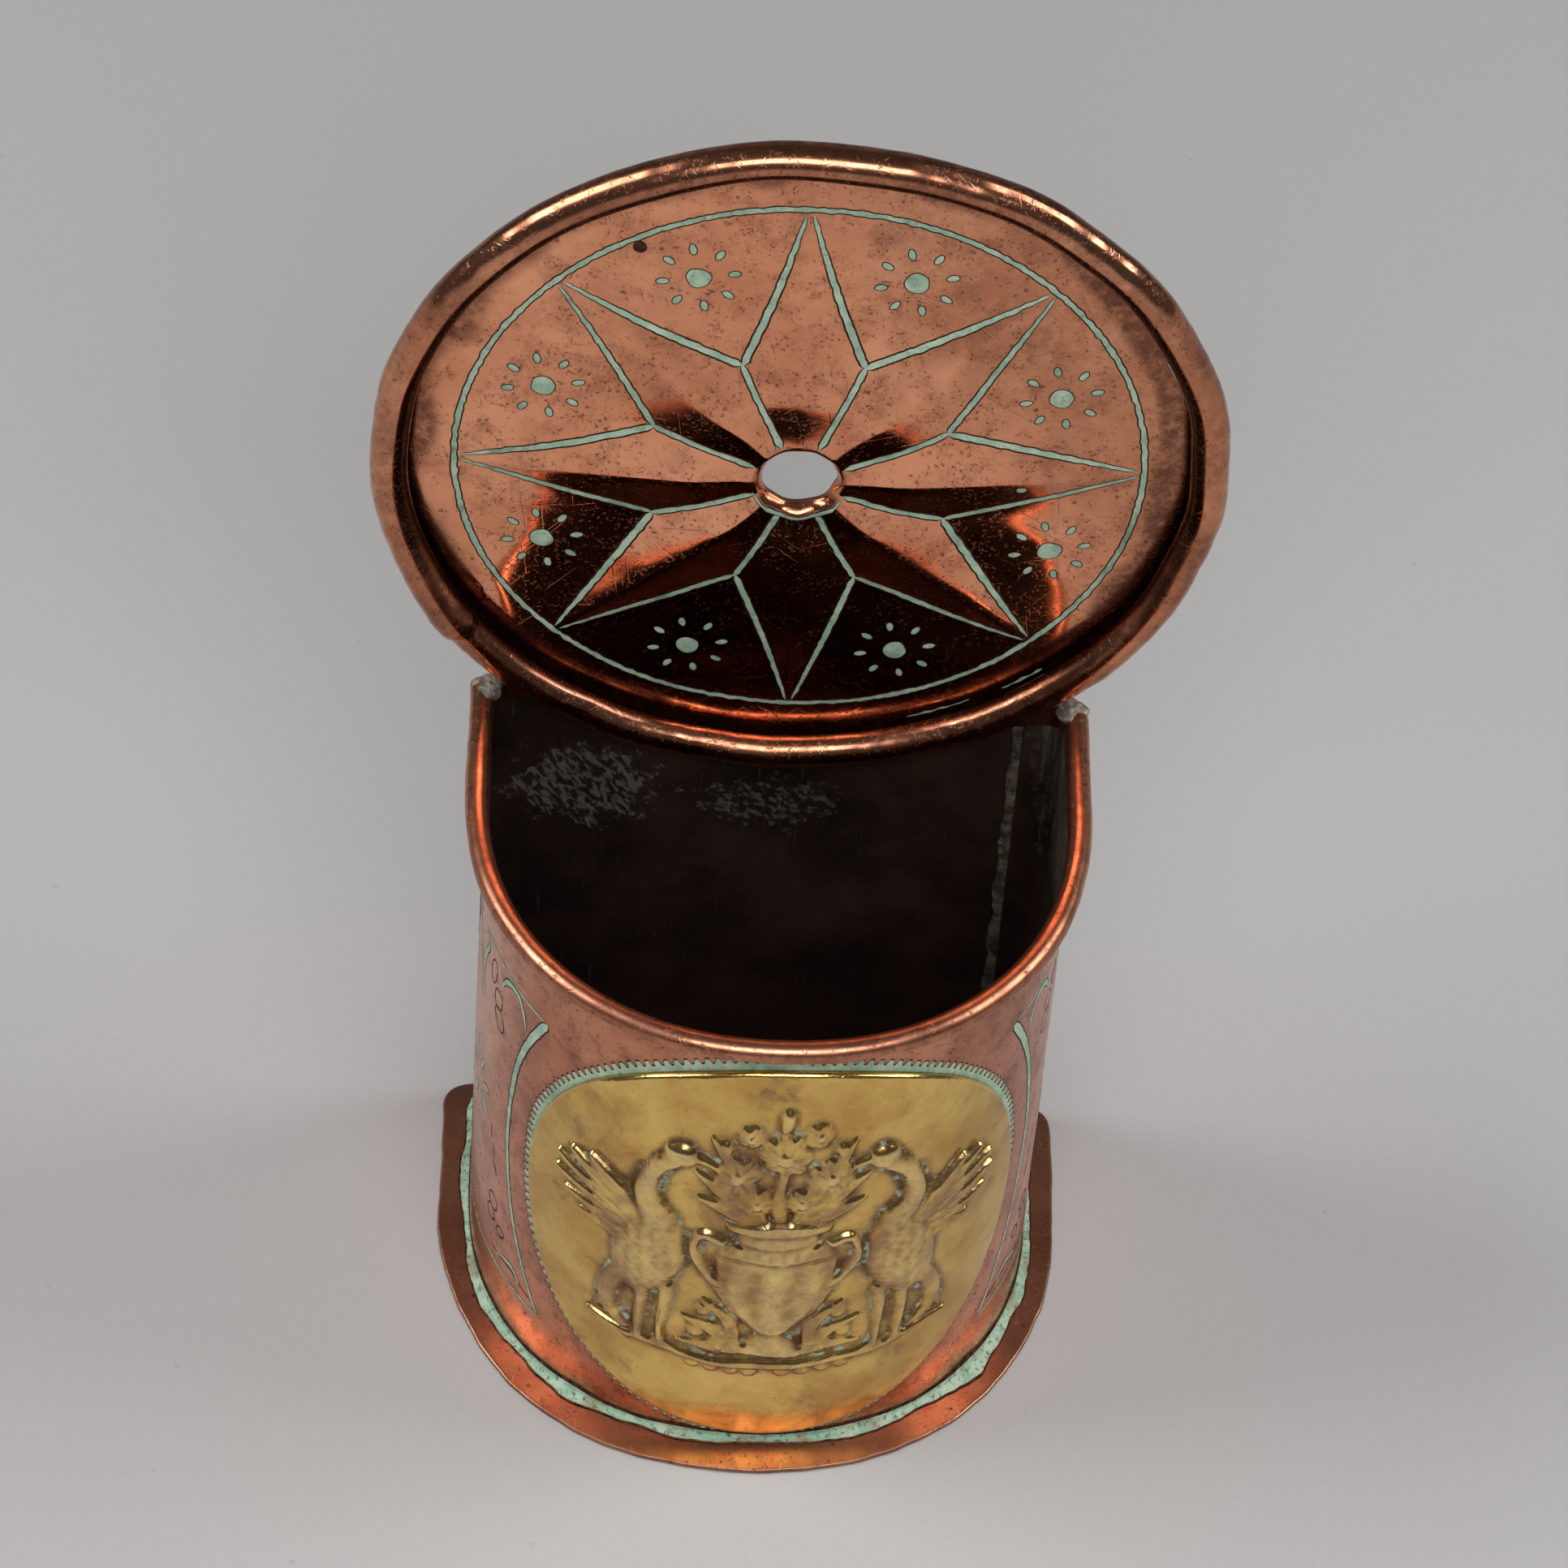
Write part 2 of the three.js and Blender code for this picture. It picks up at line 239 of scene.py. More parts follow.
def pot_outline():
    """The pot's strip from its tab inside the back wall, round by the right, front and left, to its lapped
    end, and the distances along it at which the right and the left side meet their rear corners. The strip's
    columns: x, y, normal x, normal y, and distance leftward along it from the middle of the front."""
    right, left = TAB_FACE - CORNER_RADIUS, BACK_FACE - CORNER_RADIUS
    half = WALL_HALF_WIDTH
    parts = [
        straight((TAB_EDGE, TAB_FACE), (half - CORNER_RADIUS, TAB_FACE), (0, 1), 20),
        corner(1, TAB_FACE, math.pi / 2, 0),
        straight((half, right), (half, 0), (1, 0), 60),
        bow_curve(half, BOW_DEPTH, 1201),
        straight((-half, 0), (-half, left), (-1, 0), 60),
        corner(-1, BACK_FACE, math.pi, math.pi / 2),
        straight((-half + CORNER_RADIUS, BACK_FACE), (LAP_END, BACK_FACE), (0, 1), 120),
    ]
    line = np.vstack([part[1:] if k else part for k, part in enumerate(parts)])
    _, right_corner, bow_start, bow_end, left_corner, _, _ = np.cumsum([len(part) - 1 for part in parts])
    along = distances(line[:, :2])
    along = along - along[(bow_start + bow_end) // 2]
    return np.column_stack([line, along]), along[right_corner], along[left_corner]


OUTLINE, SIDE_RIGHT, SIDE_LEFT = pot_outline()


def wall_point(along, out, height):
    """A point at a distance along the outline, out from the wall's outer face, at a height."""
    x, y, nx, ny = (np.interp(along, OUTLINE[:, 4], OUTLINE[:, k]) for k in range(4))
    lean = np.where(ny < 0, BOW_LEAN * ny**2 * height / RIM_HEIGHT, 0)
    out = out + lean
    return join(x + out * nx, y + out * ny, height)


def wall_dents(along, height):
    """Unevenness of the wall's sheet."""
    flat = join(along, height)
    return uneven(flat, (0.05, 21, 3), (0.018, 7.5, 4))


# --- engraved lines, filled with dried polish ------------------------------------------------------------

FILLED, DARK = 0, 1  # the materials of a mark's faces


class Residue:
    """Gathers the strips and spots of pale residue that fill engraved marks, with their dark edges.
    surface(u, v, lift) gives the point of the engraved surface at u, v, raised by lift."""

    EDGE = 0.19  # width of the dark edge, painted shade beside the cut
    SUNK = -0.12  # lift of the underside, inside the sheet
    LIFTS = np.array([-0.03, 0.006, 0.016, 0.02, 0.016, 0.006, -0.03])  # across a strip's top
    SPACING = 0.3 * FINE  # of points along a strip
    TAPER = 0.8  # length over which the end of an open strip narrows

    def __init__(self, surface):
        self.surface = surface
        self.points, self.faces, self.kinds, self.count = [], [], [], 0

    def add(self, points, faces, kinds):
        self.points.append(points.reshape(-1, 3))
        self.faces.append(faces + self.count)
        self.kinds.append(kinds)
        self.count += points.size // 3

    def strip(self, line, half_width, ragged=0.035, seed=0, closed=False, filled=True):
        """A line through the points of line, its half width given at steps along it, filled or only dark."""
        line = np.asarray(line, float)
        if closed:
            line = np.vstack([line, line[:1]])
        along = distances(line)
        t = np.linspace(0, along[-1], max(4, int(along[-1] / self.SPACING)) + 1)
        if closed:
            t = t[:-1]
        centre = np.stack([np.interp(t, along, line[:, k]) for k in (0, 1)], -1)
        width = np.interp(t / along[-1], np.linspace(0, 1, np.size(half_width)), np.atleast_1d(half_width))
        if closed:
            direction = np.roll(centre, -1, 0) - np.roll(centre, 1, 0)
        else:
            direction = np.gradient(centre, axis=0)
            width = width * np.minimum(1, 0.25 + np.minimum(t, along[-1] - t) / self.TAPER)
        direction /= np.linalg.norm(direction, axis=1, keepdims=True)
        side = join(-direction[:, 1], direction[:, 0])
        left, right = (np.maximum(0.4 * width, width + ragged * waves(centre, 1.1, seed + k)) for k in (0, 1))
        edge = np.minimum(self.EDGE, 0.7 * width)
        offsets = join(-left - edge, -left - 0.85 * edge, -left, 0,
                            right, right + 0.85 * edge, right + edge)
        spread = centre[:, None, :] + offsets[..., None] * side[:, None, :]
        top = self.surface(spread[..., 0], spread[..., 1], self.LIFTS)
        low = self.surface(spread[:, ::6, 0], spread[:, ::6, 1], self.SUNK)[:, ::-1]
        section = np.concatenate([top, low], 1)
        rows, around = section.shape[:2]
        kind = FILLED if filled else DARK
        faces = grid_faces(rows, around, wrap_rows=closed, wrap_columns=True)
        kinds = np.tile([DARK, DARK, kind, kind] + 5 * [DARK], len(faces) // around)
        if not closed:
            cap = np.array([[0, 8, 7, 6], [0, 6, 5, 1], [1, 5, 4, 2]])
            last = (rows - 1) * around
            faces = np.vstack([faces, cap, last + cap[:, ::-1],
                               [(2, 4, 3, 3)], last + np.array([(3, 4, 2, 2)])])
            kinds = np.concatenate([kinds, np.full(8, DARK)])
        self.add(section, faces, kinds)

    def spot(self, u, v, half_u, half_v, turn=0.0, seed=0, sides=20, filled=True):
        """An oval punch mark, filled or only dark."""
        angle = np.linspace(0, 2 * math.pi, sides, endpoint=False)
        rows = []
        # share of the mark's size, share of the dark edge's width past it, and lift
        rings = ((0, 0, 0.02), (0.55, 0, 0.02), (1, 0, 0.016), (1, 0.5, 0.006), (1, 1, -0.05),
                 (1, 0.5, self.SUNK))
        for share, past, lift in rings:
            ragged = 1 + 0.05 * waves(unit(angle), 1.3, seed) * (share > 0)
            a, b = turned((share * half_u * ragged + past * self.EDGE) * np.cos(angle),
                          (share * half_v * ragged + past * self.EDGE) * np.sin(angle), turn)
            rows.append(self.surface(u + a, v + b, lift))
        rows.append(np.broadcast_to(self.surface(np.array(u), np.array(v), self.SUNK), (sides, 3)))
        kind = FILLED if filled else DARK
        self.add(np.array(rows), grid_faces(len(rows), sides, wrap_columns=True),
                 np.repeat([kind, kind] + 4 * [DARK], sides))

    def piece(self, name):
        # the second material is the painted shade along the marks' edges
        make_piece(name, np.vstack(self.points), np.vstack(self.faces), [RESIDUE, PAINTED_EDGE_SHADE], "solder",
                   face_material=np.concatenate(self.kinds))


# --- materials --------------------------------------------------------------------------------------------

class Look:
    """Builds one material's nodes. Its colour, roughness and normal are worked up in layers."""

    def __init__(self, name, metallic=1.0, rough=0.5):
        self.material = bpy.data.materials.new(name)
        self.material.use_nodes = True
        self.tree = self.material.node_tree
        self.shader = self.tree.nodes["Principled BSDF"]
        self.shader.inputs["Metallic"].default_value = metallic
        self.place = self.tree.nodes.new("ShaderNodeTexCoord").outputs["Object"]
        self.colour, self.rough, self.normal = None, rough, None

    def put(self, socket, value):
        if isinstance(value, bpy.types.NodeSocket):
            self.tree.links.new(value, socket)
        elif isinstance(value, tuple) and len(value) == 3 and socket.type == "RGBA":
            socket.default_value = (*value, 1)
        else:
            socket.default_value = value

    def node(self, kind, output, inputs=None, **settings):
        made = self.tree.nodes.new(kind)
        for key, value in settings.items():
            setattr(made, key, value)
        for key, value in (inputs or {}).items():
            self.put(made.inputs[key], value)
        return made.outputs[output]

    def stretched(self, turn, factors, shift=(0, 0, 0)):
        """Coordinates turned, then scaled by factors, so that patterns run long in one direction."""
        placed = self.node("ShaderNodeMapping", "Vector",
                           {"Vector": self.place, "Rotation": turn, "Location": shift})
        return self.node("ShaderNodeMapping", "Vector", {"Vector": placed, "Scale": factors})

    def noise(self, size, detail=4.0, roughness=0.55, where=None, distortion=0.0, seed=0.0):
        inputs = {"Vector": where or self.place, "W": seed, "Scale": 1 / (size * MM), "Detail": detail,
                  "Roughness": roughness, "Distortion": distortion}
        return self.node("ShaderNodeTexNoise", "Fac", inputs, noise_dimensions="4D")

    def cells(self, size):
        """Distance from the nearest of scattered points."""
        return self.node("ShaderNodeTexVoronoi", "Distance", {"Vector": self.place, "Scale": 1 / (size * MM)})

    def band(self, value, low, high, start=0.0, end=1.0):
        """Smooth step of value from low to high, giving start to end."""
        inputs = {"Value": value, "From Min": low, "From Max": high, "To Min": start, "To Max": end}
        return self.node("ShaderNodeMapRange", "Result", inputs, interpolation_type="SMOOTHSTEP")

    def math(self, operation, a, b):
        return self.node("ShaderNodeMath", "Value", {0: a, 1: b}, operation=operation)

    def times(self, a, b):
        return self.math("MULTIPLY", a, b)

    def mix(self, share, a, b):
        made = self.tree.nodes.new("ShaderNodeMix")
        made.data_type = "RGBA"
        self.put(made.inputs["Factor"], share)
        self.put(made.inputs["A"], a)
        self.put(made.inputs["B"], b)
        return made.outputs["Result"]

    def distance(self, centre, radii):
        """Distance from a point of the millimetre frame, 1 at the radii."""
        moved = [(c + (DEPTH_SHIFT if k == 1 else 0)) * MM for k, c in enumerate(centre)]
        away = self.node("ShaderNodeVectorMath", "Vector", {0: self.place, 1: tuple(moved)},
                         operation="SUBTRACT")
        scaled = self.node("ShaderNodeVectorMath", "Vector", {0: away, 1: tuple(1 / (r * MM) for r in radii)},
                           operation="MULTIPLY")
        return self.node("ShaderNodeVectorMath", "Value", {0: scaled}, operation="LENGTH")

    def value(self, name):
        return self.node("ShaderNodeAttribute", "Fac", attribute_name=name)

    def ground(self, share, a, b):
        """The colour that everything else lies on, from a to b by share."""
        self.colour = self.mix(share, a, b)

    def paint(self, tone, mask, share=None):
        """Lays a tone over the colour where mask says, at most by share."""
        self.colour = self.mix(mask if share is None else self.times(mask, share), self.colour, tone)

    def blotch(self, tone, share, low, high, *noise, seed=0.0):
        """Lays a tone, at most by share, where a noise rises from low to high; noise is its size, detail
        and roughness."""
        self.paint(tone, self.band(self.noise(*noise, seed=seed), low, high, 0, share))

    def roughen(self, mask, amount):
        self.rough = self.math("ADD", self.rough, self.times(mask, amount))

    def dent(self, height, depth):
        inputs = {"Height": height, "Distance": depth * MM, "Strength": 1.0}
        if self.normal is not None:
            inputs["Normal"] = self.normal
        self.normal = self.node("ShaderNodeBump", "Normal", inputs)

    def scratches(self, seed, length=11.0, width=0.3):
        """Fine straight scratches in several directions of the upright faces, 1 on a scratch."""
        total = None
        for k in range(4):
            where = self.stretched((0, 0.5 + 0.83 * k + seed, 0), (width / length, 0.1, 1),
                                   (0, 0.01 * k, 0.02 * seed))
            line = self.noise(width, 1, 0.4, where=where, seed=seed + 3 * k)
            mark = self.band(line, 0.69, 0.76)
            total = mark if total is None else self.math("MAXIMUM", total, mark)
        return total

    def finish(self):
        values = {"Base Color": self.colour, "Roughness": self.rough, "Normal": self.normal}
        for socket, value in values.items():
            self.put(self.shader.inputs[socket], value)
        return self.material


def copper(name, bright, deep, seed, tarnish, gloss, brushed=0.0):
    """Hand-polished copper: warmer and browner patches, pits, tarnish spots, scratches, a sheet that isn't
    quite flat. A point value darkens it with real dirt where hands don't reach and with painted shade beside
    folds and on the beads, and its rubbed parts are duller."""
    look = Look(name)
    patch = look.noise(11, 5, 0.6, seed=seed)
    mottle = look.noise(2.4, 6, 0.7, seed=seed + 6)
    fine = look.noise(0.5, 3, 0.6, seed=seed + 1)
    pits = look.times(look.band(look.noise(0.3, 3, 0.6, seed=seed + 7), 0.58, 0.64),
                      look.band(mottle, 0.38, 0.56))
    spots = look.times(look.band(look.cells(1.9), 0.07, 0.16, 1, 0),
                       look.band(look.noise(5, 3, seed=seed + 2), 0.48, 0.6))
    stain = look.band(look.noise(7.5, 6, 0.68, seed=seed + 3, distortion=0.6), 0.52 - 0.05 * tarnish, 0.74)
    scratch = look.scratches(seed * 0.37)
    # a dark smear set by the point value: real dirt, and painted shade where that value marks it
    dirt_and_shade_smear = look.times(look.value("dirt_and_shade"),
                       look.band(look.noise(1.1, 4, 0.65, seed=seed + 5), 0.25, 0.62, 0.45))
    look.ground(look.band(patch, 0.34, 0.68), bright, deep)
    look.paint((0.38, 0.135, 0.075), look.band(mottle, 0.46, 0.66, 0, 0.3 + 0.45 * tarnish))
    look.paint((0.30, 0.115, 0.085), stain, 0.62 * tarnish)
    look.paint((0.12, 0.05, 0.035), spots, 0.75)
    look.paint((0.16, 0.06, 0.035), pits, 0.7)
    look.paint((0.97, 0.62, 0.45), scratch, 0.12)
    # lays the smear of dirt and painted shade
    look.paint((0.125, 0.047, 0.03), dirt_and_shade_smear, 0.9)
    look.rough = look.band(patch, 0.3, 0.75, gloss, gloss + 0.08)
    rubbed = look.value("rubbed")
    for mask, amount in ((stain, 0.1), (fine, 0.035), (dirt_and_shade_smear, 0.12), (pits, 0.2), (rubbed, 0.02)):
        look.roughen(mask, amount)
    look.dent(look.noise(4.2, 3, 0.5, seed=seed + 4), 0.024)
    grain = look.stretched((0, 0.5, 0), (1, 1, 0.06 if brushed else 1))
    look.dent(look.noise(0.16, 2, 0.5, where=grain), 0.0022 + 0.006 * brushed)
    look.dent(pits, -0.008)
    look.dent(scratch, -0.006)
    return look.finish()


def residue(name):
    """Dried polish and verdigris, chalky pale green with darker pits."""
    look = Look(name, metallic=0.0, rough=0.82)
    look.ground(look.band(look.noise(2.2, 4, 0.65), 0.35, 0.7), (0.25, 0.375, 0.27), (0.43, 0.525, 0.40))
    look.blotch((0.13, 0.15, 0.085), 0.6, 0.53, 0.66, 0.35, 4, 0.7)
    look.blotch((0.14, 0.19, 0.145), 0.75, 0.55, 0.68, 3.1, 4, 0.6, seed=6)
    look.blotch((0.40, 0.34, 0.2), 0.5, 0.6, 0.75, 6, 3, seed=3)
    look.dent(look.noise(0.3, 5, 0.7), 0.05)
    return look.finish()


def painted_edge_shade(name):
    """Near-black copper beside and in engraved cuts and along the solder's flanks: painted shade of the cuts'
    walls and of the creases by the solder.
    """
    look = Look(name)
    look.ground(look.band(look.noise(0.8, 4, 0.6), 0.35, 0.65), (0.03, 0.014, 0.010), (0.12, 0.052, 0.03))
    look.dent(look.noise(0.3, 3), 0.02)
    return look.finish()


def pot_inside(name):
    """The pot's unpolished inside: near-black brown and sooty, with two dried whitish patches on the back
    wall and paler brushing at the top of its right side."""
    look = Look(name, metallic=0.75)
    patch = look.noise(9, 5, 0.6, seed=2)
    wrinkle = look.noise(0.5, 2, where=look.stretched((0, 0.5, 0), (1, 1, 0.42)), roughness=0.5, seed=4,
                         distortion=0.7)
    weave = look.noise(0.42, 2, where=look.stretched((0, 0.9, 0), (1, 1, 0.6)), roughness=0.5, seed=5)
    brush = look.noise(0.5, 3, where=look.stretched((0, 0, 0), (1, 1, 0.07)), roughness=0.6, seed=6)
    ragged = look.band(look.noise(1.3, 4, 0.6, seed=12), 0.2, 0.8, 0.55, 1.45)

    def near(centre, radii, low=0.85, high=1.1):
        return look.band(look.times(look.distance(centre, radii), ragged), low, high, 1, 0)

    left = look.times(near((-16.7, 13.2, 42.8), (6.2, 3, 4.7)), look.band(wrinkle, 0.42, 0.60, 0.1))
    middle = look.times(near((-0.1, 13.2, 41.3), (5.6, 3, 3.1)), look.band(weave, 0.44, 0.62, 0.1, 0.7))
    crust = look.math("MAXIMUM", left, middle)
    streak = look.times(look.times(look.band(brush, 0.58, 0.75), look.band(patch, 0.5, 0.62)), 0.5)
    brushed = look.times(near((25, 6, 53), (3, 13, 13), 0.5, 1.2), look.band(brush, 0.4, 0.62, 0.15, 0.8))
    look.ground(look.band(patch, 0.3, 0.7), (0.085, 0.050, 0.036), (0.030, 0.018, 0.014))
    look.paint((0.26, 0.22, 0.19), look.math("MAXIMUM", streak, brushed))
    look.paint((0.19, 0.185, 0.16), crust, 0.6)
    look.rough = look.band(crust, 0, 1, 0.42, 0.85)
    look.dent(look.noise(1.1, 4, 0.6), 0.05)
    look.dent(wrinkle, 0.08)
    return look.finish()


def brass(name):
    """Worn brass, rubbed bright and with painted highlights on what stands proud, with brown and purple
    tarnish, and with painted shade and residue in its recesses.
    """
    look = Look(name)
    proud, hollow, around = (look.value(key) for key in ("proud", "hollow", "around"))
    patch = look.noise(6, 5, 0.62, seed=1)
    fine = look.noise(0.45, 4, 0.65, seed=2)
    stain = look.band(look.noise(8.5, 5, 0.66, seed=7, distortion=0.7), 0.52, 0.68)
    cloud = look.times(around, look.band(look.noise(2.6, 5, 0.66, seed=12), 0.36, 0.62))
    # painted shade in the relief's hollows
    shade = look.times(hollow, look.band(fine, 0.3, 0.62, 0.6))
    chalk = look.times(look.band(hollow, 0.35, 0.85), look.band(look.noise(1.5, 5, 0.7, seed=9), 0.49, 0.62))
    look.ground(look.band(patch, 0.35, 0.68), (0.87, 0.60, 0.185), (0.62, 0.36, 0.10))
    look.paint((0.24, 0.12, 0.08), stain, 0.7)
    look.paint((0.26, 0.125, 0.085), cloud, 0.72)
    look.blotch((0.17, 0.09, 0.05), 0.5, 0.62, 0.7, 0.3, 3, 0.6, seed=14)
    # painted highlight on the raised parts, over their real rubbed brightness
    look.paint((0.96, 0.74, 0.34), look.times(proud, look.band(fine, 0.3, 0.7, 0.3, 0.75)))
    look.paint((0.085, 0.045, 0.025), shade, 0.9)
    look.paint((0.36, 0.43, 0.31), chalk, 0.85)
    look.rough = look.band(patch, 0.3, 0.7, 0.13, 0.22)
    look.roughen(stain, 0.14)
    look.roughen(shade, 0.25)
    look.put(look.shader.inputs["Metallic"], look.math("SUBTRACT", 1.0, look.times(chalk, 0.9)))
    look.dent(look.noise(0.7, 4, 0.6, seed=5), 0.03)
    look.dent(look.scratches(2.1, 12, 0.4), -0.008)
    return look.finish()


def solder(name):
    """Old soft solder with pale green and ochre crusts."""
    look = Look(name, metallic=0.2)
    patch = look.noise(1.7, 5, 0.65, seed=4)
    look.ground(look.band(patch, 0.38, 0.62), (0.22, 0.38, 0.27), (0.40, 0.52, 0.39))
    look.blotch((0.24, 0.20, 0.12), 0.7, 0.54, 0.68, 3, 4, seed=8)
    look.blotch((0.08, 0.065, 0.04), 0.8, 0.52, 0.63, 0.5, 4, 0.7, seed=2)
    look.rough = look.band(patch, 0.3, 0.7, 0.5, 0.8)
    look.dent(look.noise(0.5, 5, 0.65), 0.1)
    return look.finish()


def dull_solder(name, light=1.0):
    """Grey solder inside the pot and at its corners, brown and darkened with painted shade; light scales its
    colours up for the lit copy at the corners.
    """
    def tone(*rgb):
        return tuple(light * value for value in rgb)

    look = Look(name, metallic=0.4)
    patch = look.noise(1.5, 5, 0.65, seed=5)
    look.ground(look.band(patch, 0.4, 0.62), tone(0.040, 0.035, 0.030), tone(0.14, 0.11, 0.075))
    look.blotch(tone(0.22, 0.23, 0.18), 0.6, 0.52, 0.66, 0.8, 5, 0.7, seed=6)
    look.rough = look.band(patch, 0.3, 0.7, 0.5, 0.75)
    look.dent(look.noise(0.5, 5, 0.65), 0.1)
    return look.finish()


def iron(name):
    """Dark iron wire with a little rust."""
    look = Look(name)
    rust = look.band(look.noise(1.6, 5, 0.6), 0.5, 0.65)
    look.ground(rust, (0.12, 0.11, 0.10), (0.17, 0.07, 0.03))
    look.rough = look.band(rust, 0, 1, 0.45, 0.85)
    look.dent(look.noise(0.3, 4), 0.03)
    return look.finish()


def paper(name):
    """Seamless pale backdrop, faintly fibrous, with a few specks."""
    look = Look(name, metallic=0.0, rough=0.9)
    look.ground(look.noise(160, 2), (0.395, 0.388, 0.386), (0.41, 0.404, 0.402))
    look.blotch((0.33, 0.325, 0.322), 0.16, 0.35, 0.65, 0.6, 4, 0.7)
    look.blotch((0.2, 0.19, 0.18), 0.35, 0.76, 0.8, 1.3, 2, 0.4, seed=3)
    look.dent(look.noise(0.7, 4, 0.65), 0.05)
    return look.finish()


DISC_COPPER = copper("disc_copper", (0.90, 0.40, 0.225), (0.70, 0.275, 0.145), seed=1, tarnish=0.6,
                     gloss=0.045)
WALL_COPPER = copper("wall_copper", (0.90, 0.40, 0.235), (0.66, 0.255, 0.14), seed=6, tarnish=0.9, gloss=0.18)
# a darker copy of the copper for the foot: painted shade for the dark room its flange reflects
SHADED_FOOT_COPPER = copper("shaded_foot_copper", (0.46, 0.235, 0.145), (0.22, 0.105, 0.065), seed=9, tarnish=0.9,
                     gloss=0.34)
BACK_COPPER = copper("back_copper", (0.62, 0.29, 0.17), (0.36, 0.15, 0.09), seed=13, tarnish=1.0, gloss=0.36,
                     brushed=0.3)
INSIDE = pot_inside("pot_inside")
BRASS = brass("medallion_brass")
RESIDUE = residue("dried_residue")
# painted shade for the edges of engraved marks and the solder's flanks
PAINTED_EDGE_SHADE = painted_edge_shade("painted_edge_shade")
SOLDER = solder("old_solder")
# the dim copy, inside the pot and behind the plate: painted shade
DULL_SOLDER = dull_solder("dull_solder")
# the lit copy for the corners, 2.3 times lighter than the shaded one: painted light
CORNER_SOLDER = dull_solder("corner_solder", 2.3)
IRON = iron("iron_wire")


# --- the pot's wall ---------------------------------------------------------------------------------------

FLARE_STEPS, ROLL_STEPS = 8, 32  # points up the wall's flare and round its roll
FLARE_FOOT = RIM_HEIGHT - FLARE_HEIGHT


def rolled_section():
    """The wall's outer and inner face where its top is rolled over the wire, from the flare's foot."""
    z = RIM_HEIGHT - FLARE_HEIGHT * (1 - np.linspace(0, 1, FLARE_STEPS))
    flare = RIM_FLARE * smoothstep(z, FLARE_FOOT, RIM_HEIGHT)
    turn = math.pi - ROLL_TURN * np.linspace(0, 1, ROLL_STEPS)

    def face(out, radius):
        roll = join(RIM_CENTRE + radius * np.cos(turn), RIM_HEIGHT + radius * np.sin(turn))
        return np.vstack([join(flare + out, z)[:-1], roll])

    return face(0, RIM_ROLL - SHEET), face(-SHEET, RIM_ROLL)


def upright_section():
    """The same points on a plain upright edge with a rounded top, as on the back wall."""
    share = np.linspace(0, 1, FLARE_STEPS - 1 + ROLL_STEPS)
    straight_share = 0.8
    top = RIM_HEIGHT + RIM_ROLL / 2
    z = FLARE_FOOT + (top - SHEET / 2 - FLARE_FOOT) * np.minimum(1, share / straight_share)
    bend = np.clip((share - straight_share) / (1 - straight_share), 0, 1) * math.pi / 2
    inset = -SHEET / 2 * (1 - np.cos(bend))
    z = z + SHEET / 2 * np.sin(bend)
    return join(inset, z), join(-SHEET - inset, z)


def wall_section(heights, rolled):
    """The wall's section from its foot up the outside, over the top and down the inside."""
    outside, inside = rolled_section() if rolled else upright_section()
    up = np.vstack([join(0, heights), outside])
    down = np.vstack([join(-SHEET, heights), inside])[::-1]
    return np.vstack([up, down])


def wall_stations():
    """Distances along the strip at which it has a section, with the roll's ends set close together."""
    first, last, gap = OUTLINE[0, 4], OUTLINE[-1, 4], 1.2
    spans = [(first, SIDE_RIGHT - 0.1, 24), (SIDE_RIGHT, SIDE_RIGHT + gap, 8),
             (SIDE_RIGHT + gap + 0.1, SIDE_LEFT - gap - 0.1, 400),
             (SIDE_LEFT - gap, SIDE_LEFT, 8), (SIDE_LEFT + 0.1, last, 100)]
    return np.concatenate([np.linspace(start, end, int(count / FINE)) for start, end, count in spans])


